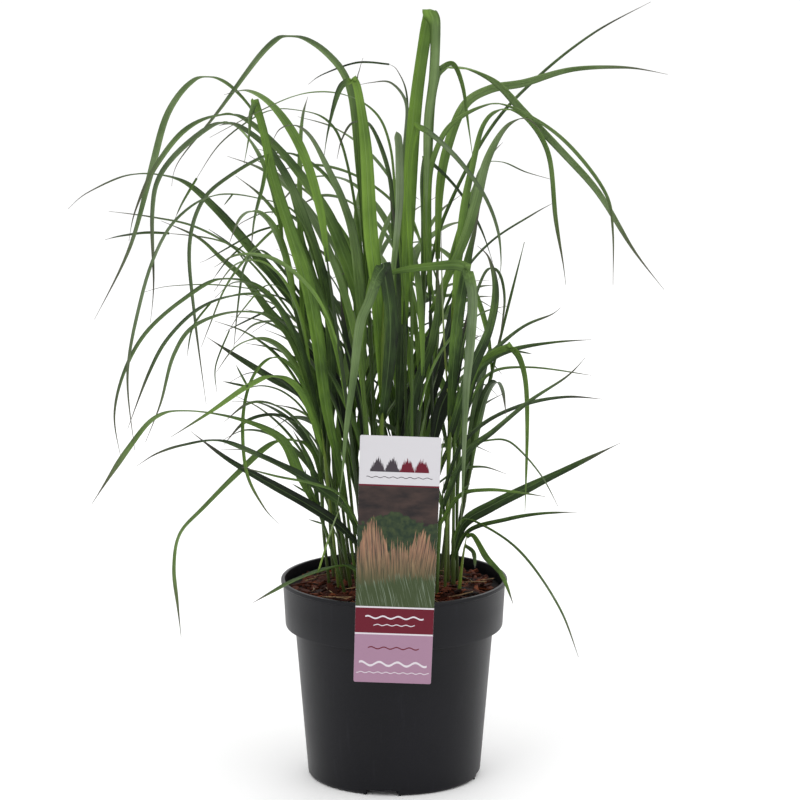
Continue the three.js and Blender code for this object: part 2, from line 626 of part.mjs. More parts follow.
        width: [3, 4, 3.5, 1], deep: 60, roll: 30 },
      { from: 398, course: [[-77, 470], [-93, 483], [-115, 466], [-140, 434], [-155, 399], [-162, 381]],
        width: [2, 3, 2.5, 1], deep: 30, roll: 30 },
      { from: 380, course: [[-88, 438], [-112, 462], [-125, 450], [-130, 425], [-135, 378]],
        width: [2, 3, 2.5, 1], deep: -10, roll: 35 },
      { from: 350, course: [[-80, 410], [-110, 427], [-150, 433], [-189, 432], [-210, 427]],
        width: [2, 3.5, 3, 1], deep: 85, roll: 35 },
      { from: 340, course: [[-82, 415], [-105, 433], [-128, 411], [-139, 394]], width: [2, 3, 2, 1],
        deep: 55, roll: 30 },
      { from: 305, course: [[-50, 352], [-67, 373], [-89, 400], [-106, 430]], width: [5, 9, 7, 4, 1],
        deep: 75, roll: 20 },
    ],
  },
];

// ---------------------------------------------------------------- leafy stems grown by rule

// The rest of the clump: stems set out in a spiral between the ones above, that lean outwards. Their leaves
// leave the stem on two sides in turn and arch over, most of them to the front and to the back.
const REST = {
  stems: 28, // at most
  places: 160, // looked at for a foot
  seed: 61,
  tries: 500, // draws of each leaf before it is left out
  crowd: 7.7, // least distance between two stems' feet
  spread: 54, // radius of the clump at the bark
  height: [130, 300],
  lean: [2, 13], // degrees, in the middle and at the edge of the clump
  leaves: 9, // looked at for each stem
  fewest: 2, // a stem with less leaves than this is left out
  length: [190, 370],
  width: [5, 9],
  flagLength: [170, 260], // the last leaf, at the stem's head
  segments: 6,
  reach: { left: -150, right: 96, front: -150, back: 200, top: 585, low: 178 },
  window: { half: 64, depth: -36 }, // the middle of the front, which the broad leaves above fill
};

// ---------------------------------------------------------------- room to grow in

// What each stem and leaf takes up, as lines with a radius: one down its middle, and on a wide leaf one more
// near each edge. A new leaf has to keep clear of every line that belongs to another stem.
const takenUp = [];

function linesOf(owner, ribs) {
  return ribs.map(({ points, radius }) => {
    const low = points.reduce((a, p) => a.min(p), vec(1e9, 1e9, 1e9)).addScalar(-radius);
    const high = points.reduce((a, p) => a.max(p), vec(-1e9, -1e9, -1e9)).addScalar(radius);
    return { owner, points, radius, low, high };
  });
}

/** The least distance between two straight stretches. */
function apart(p, q, r, s) {
  const d1 = q.clone().sub(p);
  const d2 = s.clone().sub(r);
  const d = p.clone().sub(r);
  const a = d1.dot(d1);
  const e = d2.dot(d2);
  const f = d2.dot(d);
  const c = d1.dot(d);
  const b = d1.dot(d2);
  const slack = a * e - b * b;
  const limit = (value) => Math.min(Math.max(value, 0), 1);
  let m = slack > 1e-9 ? limit((b * f - c * e) / slack) : 0;
  let n = (b * m + f) / e;
  if (n < 0 || n > 1) {
    n = limit(n);
    m = limit((b * n - c) / a);
  }
  return p.clone().addScaledVector(d1, m).distanceTo(r.clone().addScaledVector(d2, n));
}

function touches(line, other) {
  const room = line.radius + other.radius + BLADE.clear;
  const far = ["x", "y", "z"].some(
    (k) => line.low[k] > other.high[k] + BLADE.clear || other.low[k] > line.high[k] + BLADE.clear,
  );
  if (far) return false;
  for (let i = 0; i + 1 < line.points.length; i++) {
    for (let j = 0; j + 1 < other.points.length; j++) {
      if (apart(line.points[i], line.points[i + 1], other.points[j], other.points[j + 1]) < room) return true;
    }
  }
  return false;
}

/** Whether a point of a leaf keeps clear of the bark, the pot's rim and the label. */
function clearOfPot(point, radius) {
  const room = radius + BLADE.clear;
  const r = Math.hypot(point.x, point.y);
  if (r < POT.rimRadius + room && point.z < POT.height + room && r > 80) return false;
  if (r <= 80 && point.z < barkHeight(r) + CHIP.thick + room) return false;
  const up = point.z - LABEL.foot;
  if (up < -room || up > LABEL.height + room) return true;
  const middle = LABEL.footX + up * Math.tan(rad(LABEL.lean));
  if (Math.abs(point.x - middle) > LABEL.topWidth / 2 + room) return true;
  return Math.abs(point.y + POT.rimRadius + LABEL.gap + LABEL.thick / 2) > LABEL.thick / 2 + room;
}

/** Whether lines have room, with their first few points left out of the test against the pot. */
function free(owner, ribs, rooted) {
  for (const { points, radius } of ribs) {
    for (let i = rooted; i + 1 < points.length; i++) {
      for (const t of [0, 0.25, 0.5, 0.75, 1]) {
        if (!clearOfPot(points[i].clone().lerp(points[i + 1], t), radius)) return false;
      }
    }
  }
  const others = takenUp.filter((other) => other.owner !== owner);
  return linesOf(owner, ribs).every((line) => others.every((other) => !touches(line, other)));
}

// ---------------------------------------------------------------- stems and leaves

/** The direction of a course at one of its points. */
function tangentAt(points, i) {
  const [before, after] = [points[Math.max(i - 1, 0)], points[Math.min(i + 1, points.length - 1)]];
  return after.clone().sub(before).normalize();
}

/** The directions along a leaf's width at each of its points. */
function widthWays(points, sideways, roll) {
  return points.map((point, i) => {
    const tangent = tangentAt(points, i);
    const side = sideways(point, tangent);
    side.addScaledVector(tangent, -side.dot(tangent)).normalize();
    const face = tangent.clone().cross(side);
    return side.clone().multiplyScalar(Math.cos(rad(roll))).addScaledVector(face, Math.sin(rad(roll)));
  });
}

/** A leaf's outline in space, before it is known to have room. */
function layLeaf(points, widths, sideways, roll) {
  const ways = widthWays(points, sideways, roll);
  const sizes = points.map((point, i) => along(widths, i / (points.length - 1)));
  const widest = Math.max(...sizes);
  const shares = widest > BLADE.oneLine ? [-1 / 3, 0, 1 / 3] : [0];
  const radius = widest > BLADE.oneLine ? widest / 6 + BLADE.keel / 2 : widest / 2 + BLADE.keel / 4;
  const ribs = shares.map((share) => ({
    points: points.map((point, i) => point.clone().addScaledVector(ways[i], share * sizes[i])),
    radius,
  }));
  return { points, ways, sizes, ribs };
}

/** A stem's or leaf's skin through rings of points, closed at both ends. */
function skin(rings, tip) {
  const sides = rings[0].length;
  const spots = rings.flat();
  const faces = [];
  for (let i = 0; i + 1 < rings.length; i++) {
    for (let k = 0; k < sides; k++) {
      const [a, b] = [i * sides + k, i * sides + ((k + 1) % sides)];
      faces.push(a, b, b + sides, a, b + sides, a + sides);
    }
  }
  const last = (rings.length - 1) * sides;
  for (let k = 1; k + 1 < sides; k++) faces.push(0, k + 1, k);
  if (tip) {
    spots.push(tip);
    for (let k = 0; k < sides; k++) faces.push(last + k, last + ((k + 1) % sides), spots.length - 1);
  } else {
    for (let k = 1; k + 1 < sides; k++) faces.push(last, last + k, last + k + 1);
  }
  return new Manifold(
    new wasm.Mesh({
      numProp: 3,
      vertProperties: new Float32Array(spots.flatMap((spot) => spot.toArray())),
      triVerts: new Uint32Array(faces),
    }),
  );
}

/** A leaf with a flat upper side and a keel under it. A leaf that ends wide is left blunt. */
function leafSolid({ points, ways, sizes }) {
  const rings = points.map((point, i) => {
    const tangent = tangentAt(points, i);
    const face = tangent.cross(ways[i]);
    const half = Math.max(sizes[i], 1.2) / 2;
    return [
      point.clone().addScaledVector(ways[i], half),
      point.clone().addScaledVector(ways[i], -half),
      point.clone().addScaledVector(face, -BLADE.keel),
    ];
  });
  const pointed = sizes[sizes.length - 1] < 2;
  if (pointed) rings.pop();
  return skin(rings, pointed ? points[points.length - 1] : null);
}

/** A stem: upright where it stands in the bark, and thinner towards its head. */
function stemSolid(points) {
  const rings = points.map((point, i) => {
    const share = Math.max(i - 1, 0) / (points.length - 2);
    const radius = THREE.MathUtils.lerp(STEM.footRadius, STEM.headRadius, share);
    return [0, 90, 180, 270].map((turn) =>
      point.clone().add(vec(radius * Math.cos(rad(turn)), radius * Math.sin(rad(turn)), 0)),
    );
  });
  return skin(rings, null);
}

const stemLine = (points) => [{ points, radius: STEM.footRadius }];

/** Where a stem stands in the bark, and the first point above it. */
function rooted([x, y]) {
  return [vec(x, y, SOIL.stemFoot), vec(x, y, barkHeight(0) + CHIP.thick)];
}

const plants = [];

/** The stem of a hand-laid plant, bent forward or back where another stem is in its way. */
function raiseStem({ foot, rise }, owner) {
  const roots = rooted(foot);
  for (const bend of [0, 3, -3, 6, -6, 9, -9, 12, -12]) {
    const marks = [seen(roots[1]), ...rise.map(([u, v, depth], i) => [u, v, depth + bend * (i ? 1 : 0.6)])];
    const points = [...roots, ...marks.slice(1).map((mark) => place(...mark))];
    if (bend === -12 || free(owner, stemLine(points), 2)) {
      takenUp.push(...linesOf(owner, stemLine(points)));
      return { owner, marks, points, leaves: [] };
    }
  }
}

/** The [u, v, depth] of a stem at a height on the sheet. */
function markAt(marks, v) {
  let i = 0;
  while (i < marks.length - 2 && marks[i + 1][1] < v) i++;
  const t = (v - marks[i][1]) / (marks[i + 1][1] - marks[i][1]);
  return [0, 1, 2].map((k) => marks[i][k] + (marks[i + 1][k] - marks[i][k]) * t);
}

// How much a leaf's tip and its middle move in depth, in the order in which they are tried.
const BENDS = [[0, 0]];
for (let move = 8; move <= 120; move += 8) {
  const ways = [[1, 0], [-1, 0], [0, 0.5], [0, -0.5], [1, 0.5], [-1, -0.5], [1, -0.5], [-1, 0.5]];
  for (const [tip, middle] of ways) {
    BENDS.push([tip * move, middle * move]);
  }
}

function layHandLeaf(plant, leaf) {
  const earlier = leaf.on === undefined ? null : plant.leaves[leaf.on];
  const start = earlier ? seen(pointOn(earlier, leaf.share)) : markAt(plant.marks, leaf.from);
  const course = [[start[0], start[1]], ...leaf.course];
  const legs = course.slice(1).map(([u, v], i) => Math.hypot(u - course[i][0], v - course[i][1]));
  const length = legs.reduce((sum, leg) => sum + leg, 0);
  const segments = Math.round(THREE.MathUtils.clamp(length / BLADE.step, 3, 8));
  const marks = smooth(course, segments);
  const toEye = (point, tangent) => eye.clone().sub(point).normalize().cross(tangent);
  const widths = leaf.width.map((width) => width + BLADE.swell * Math.max(width - BLADE.oneLine, 0));
  for (const [tip, middle] of BENDS) {
    const points = marks.map(([u, v], i) => {
      const share = i / segments;
      const depth = start[2] + (leaf.deep + tip - start[2]) * share + middle * Math.sin(Math.PI * share);
      return place(u, v, depth);
    });
    const laid = layLeaf(points, widths, toEye, leaf.roll);
    if (free(plant.owner, laid.ribs, 1)) {
      takenUp.push(...linesOf(plant.owner, laid.ribs));
      plant.leaves.push(laid);
      return true;
    }
  }
  plant.leaves.push(null);
  return false;
}

function pointOn({ points }, share) {
  const at = share * (points.length - 1);
  const i = Math.min(Math.floor(at), points.length - 2);
  return points[i].clone().lerp(points[i + 1], at - i);
}

/** An arching leaf from a point: it starts steep and turns over, in steps of equal length. */
function archLeaf(start, turn, length, steep, droop, sweep) {
  const points = [start];
  for (let i = 0; i < REST.segments; i++) {
    const share = (i + 0.5) / REST.segments;
    const down = rad(steep + (droop - steep) * share ** 1.5);
    const way = rad(turn + sweep * share);
    const step = vec(Math.sin(down) * Math.cos(way), Math.sin(down) * Math.sin(way), Math.cos(down));
    points.push(points[i].clone().addScaledVector(step, length / REST.segments));
  }
  return points;
}

function inReach(points) {
  const { left, right, front, back, top, low } = REST.reach;
  const { half, depth } = REST.window;
  if (points.slice(2).some(({ x, y }) => y < depth && Math.abs(x) < half)) return false;
  const { min, max } = new THREE.Box3().setFromPoints(points);
  return min.x > left && max.x < right && min.y > front && max.y < back && min.z > low && max.z < top;
}

/** The places of a spiral in turn, as feet for the rest of the stems. */
function restFoot(i) {
  const r = REST.spread * Math.sqrt(((i * 0.618034) % 1) * 0.98 + 0.02);
  const turn = rad(i * 137.508 + 20);
  return [r * Math.cos(turn), r * Math.sin(turn)];
}

function raiseRestStem(foot, owner, draw) {
  const roots = rooted(foot);
  const out = Math.hypot(...foot) / REST.spread;
  const turn = Math.atan2(foot[1], foot[0]);
  for (let i = 0; i < REST.tries; i++) {
    const height = REST.height[0] + (REST.height[1] - REST.height[0]) * draw();
    const lean = rad(REST.lean[0] + (REST.lean[1] - REST.lean[0]) * out + 5 * (draw() - 0.5));
    const way = turn + 0.6 * (draw() - 0.5);
    const side = vec(Math.cos(way), Math.sin(way), 0).multiplyScalar(Math.tan(lean));
    const head = roots[1].clone().addScaledVector(side.add(vec(0, 0, 1)), height);
    const middle = roots[1].clone().lerp(head, 0.5);
    middle.addScaledVector(vec(Math.cos(way), Math.sin(way), 0), -0.012 * height);
    const points = [...roots, middle, head];
    if (free(owner, stemLine(points), 2)) {
      takenUp.push(...linesOf(owner, stemLine(points)));
      return { owner, points, turn: THREE.MathUtils.radToDeg(way), leaves: [] };
    }
  }
  return null;
}

/** One leaf of a rule-grown stem. Those to the left and right are shorter, so the clump stays open there. */
function layRestLeaf(plant, number, draw) {
  const flag = number === REST.leaves - 1;
  const share = flag ? 0.96 : 0.12 + (0.78 * number) / (REST.leaves - 1);
  const above = { points: plant.points.slice(1) };
  const start = pointOn(above, share);
  for (let i = 0; i < REST.tries; i++) {
    const side = number % 2 ? 1 : -1;
    const turn = flag ? 360 * draw() : plant.turn + side * (35 + 70 * draw());
    const facing = Math.abs(Math.sin(rad(turn)));
    const [low, high] = flag ? REST.flagLength : REST.length;
    const length = (low + (high - low) * draw()) * (flag ? 1 : 0.55 + 0.45 * facing);
    const steep = 6 + 14 * draw();
    const droop = flag ? 75 + 60 * draw() : 75 + 75 * draw();
    const sweep = 50 * (draw() - 0.5);
    const roll = 60 * (draw() - 0.5);
    const width = REST.width[0] + (REST.width[1] - REST.width[0]) * draw();
    const points = archLeaf(start, turn, length, steep, droop, sweep);
    const level = vec(-Math.sin(rad(turn)), Math.cos(rad(turn)), 0);
    const widths = [0.45 * width, 0.9 * width, width, 0.9 * width, 0.6 * width, 1];
    const laid = layLeaf(points, widths, () => level.clone(), roll);
    if (inReach(points) && free(plant.owner, laid.ribs, 1)) {
      takenUp.push(...linesOf(plant.owner, laid.ribs));
      plant.leaves.push(laid);
      return;
    }
  }
}

STEMS.forEach((stem, owner) => plants.push(raiseStem(stem, owner)));
const draw = dice(REST.seed);
for (let i = 0; i < REST.places && plants.length < STEMS.length + REST.stems; i++) {
  const foot = restFoot(i);
  const gaps = plants.map(({ points: [root] }) => Math.hypot(root.x - foot[0], root.y - foot[1]));
  const crowded = gaps.some((gap) => gap < REST.crowd);
  const plant = crowded ? null : raiseRestStem(foot, plants.length, draw);
  if (plant) plants.push(plant);
}
STEMS.forEach((stem, owner) => stem.leaves.forEach((leaf) => layHandLeaf(plants[owner], leaf)));
for (const plant of plants.slice(STEMS.length)) {
  for (let number = 0; number < REST.leaves; number++) layRestLeaf(plant, number, draw);
}
const leafy = plants.filter(({ leaves }) => leaves.filter((leaf) => leaf).length >= REST.fewest);

/** Square holes for the stems' feet. */
function stemHoles(low, high) {
  const radius = STEM.footRadius + SOIL.holeRoom;
  const holes = leafy.map(({ points }) => {
    const rings = [low, high].map((z) =>
      [0, 90, 180, 270].map((turn) =>
        vec(points[0].x + radius * Math.cos(rad(turn)), points[0].y + radius * Math.sin(rad(turn)), z),
      ),
    );
    return skin(rings, null);
  });
  return Manifold.union(holes);
}

const group = new THREE.Group();
group.name = "feather_reed_grass";
group.add(piece("pot", pot(), potPlastic));
group.add(piece("compost", compost(stemHoles(SOIL.stemFoot - 0.4, SOIL.compostTop + 1)), compostBrown));
group.add(piece("bark_mulch", bark(stemHoles(SOIL.compostTop - 1, POT.height + 10)), barkBrown));
group.add(piece("plant_label", label(), labelCard));
leafy.forEach(({ points, leaves }, i) => {
  const kept = leaves.filter((leaf) => leaf);
  const joined = Manifold.union([stemSolid(points), ...kept.map(leafSolid)]);
  const name = `leafy_stem_${String(i + 1).padStart(2, "0")}`;
  group.add(piece(name, joined, leafGreens[i % leafGreens.length]));
});

export default group;
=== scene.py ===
import math
import random

import bpy
import numpy as np
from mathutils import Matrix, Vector


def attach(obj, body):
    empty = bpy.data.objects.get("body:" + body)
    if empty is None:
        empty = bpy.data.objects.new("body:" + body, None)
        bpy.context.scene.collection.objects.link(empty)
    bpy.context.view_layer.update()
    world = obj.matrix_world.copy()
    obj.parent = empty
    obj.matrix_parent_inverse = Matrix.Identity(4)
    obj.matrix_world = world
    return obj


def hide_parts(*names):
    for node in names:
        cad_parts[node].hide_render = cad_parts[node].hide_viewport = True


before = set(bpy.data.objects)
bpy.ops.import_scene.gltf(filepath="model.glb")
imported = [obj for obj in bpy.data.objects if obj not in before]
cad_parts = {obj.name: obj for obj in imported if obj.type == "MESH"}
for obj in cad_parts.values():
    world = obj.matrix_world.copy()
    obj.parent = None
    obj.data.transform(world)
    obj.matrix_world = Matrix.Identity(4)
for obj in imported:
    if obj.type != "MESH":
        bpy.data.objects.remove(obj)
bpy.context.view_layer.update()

print("frame loaded:", len(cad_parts), "nodes")

mm = 0.001
tiny = 1e-9

# sizes of the pot and what fills it, in millimetres
pot = {
    "height": 171, "rim": 96, "bead": 3.5, "collarTop": 94.3, "collarFoot": 92.3, "collarDepth": 41,
    "bodyTop": 84.2, "bodyFoot": 73.6, "footRound": 3.5, "wall": 1.5, "floor": 2.2,
}
drain = {"count": 4, "width": 27, "height": 4.4, "depth": 15, "turn": -8, "holeRadius": 4.5}
soil = {"barkTop": 162.5, "crown": 2.5, "stemFoot": 141, "chipThick": 2.6, "compostTop": 153, "reach": 80}
card = {"topWidth": 66.5, "footWidth": 63.9, "height": 208, "thick": 0.8, "foot": 105, "footX": -1.5,
        "lean": 2, "tongueWidth": 30, "gap": 0.6}


# ---- camera: the eye in front of the pot and a little above it

sheet = {"distance": 3000, "slope": math.radians(11.06), "middle": (5, 336.3), "aimHeight": 324,
         "wide": 672.56, "sensor": 36}
across = np.array((1.0, 0.0, 0.0))
upward = np.array((0.0, math.sin(sheet["slope"]), math.cos(sheet["slope"])))
inward = np.array((0.0, math.cos(sheet["slope"]), -math.sin(sheet["slope"])))
aim = np.array((sheet["middle"][0], 0.0, sheet["aimHeight"]))
eye = aim - inward * sheet["distance"]


def makeCamera():
    bpy.ops.object.camera_add(location=tuple(eye * mm), rotation=(math.pi / 2 - sheet["slope"], 0, 0))
    cam = bpy.context.object
    cam.name = "camera"
    cam.data.sensor_width = sheet["sensor"]
    cam.data.lens = sheet["sensor"] * sheet["distance"] / sheet["wide"]
    cam.data.clip_end = 20
    bpy.context.scene.camera = cam


makeCamera()


# ---- the leafy stems' courses, the same as those of the solids they stand for

stemSize = {"footRadius": 1.9, "headRadius": 1.2, "bends": (0, 3, -3, 6, -6, 9, -9, 12, -12), "lowBend": 0.6}
leafSize = {"keel": 1.2, "swell": 0.35, "clear": 0.4, "oneLine": 3.6, "step": 42, "samples": 160, "fine": 8,
            "fewest": 3, "most": 8, "bendStep": 8, "bendMost": 120, "checks": (0, 0.25, 0.5, 0.75, 1)}
# the stems and leaves laid by rule; a pair is the least and the most, or the least and what is added to it
rest = {
    "stems": 28, "places": 160, "seed": 61, "tries": 500, "crowd": 7.7, "spread": 54,
    "turnStep": 137.508, "firstTurn": 20, "ringStep": 0.618034, "rings": (0.02, 0.98), "height": (130, 300),
    "lean": (2, 13), "leanDrift": 5, "turnDrift": 0.6, "bow": 0.012, "leaves": 9, "fewest": 2,
    "length": (190, 370), "width": (5, 9), "flagLength": (170, 260), "flagStart": 0.96, "start": (0.12, 0.78),
    "turn": (35, 70), "facing": (0.55, 0.45), "steep": (6, 14), "droop": (75, 75), "flagDroop": (75, 60),
    "sweep": 50, "roll": 60, "droopLate": 1.5, "taper": (0.45, 0.9, 1, 0.9, 0.6), "segments": 6,
    "low": (-150, -150, 178), "high": (96, 200, 585), "windowHalf": 64, "windowDepth": -36,
}

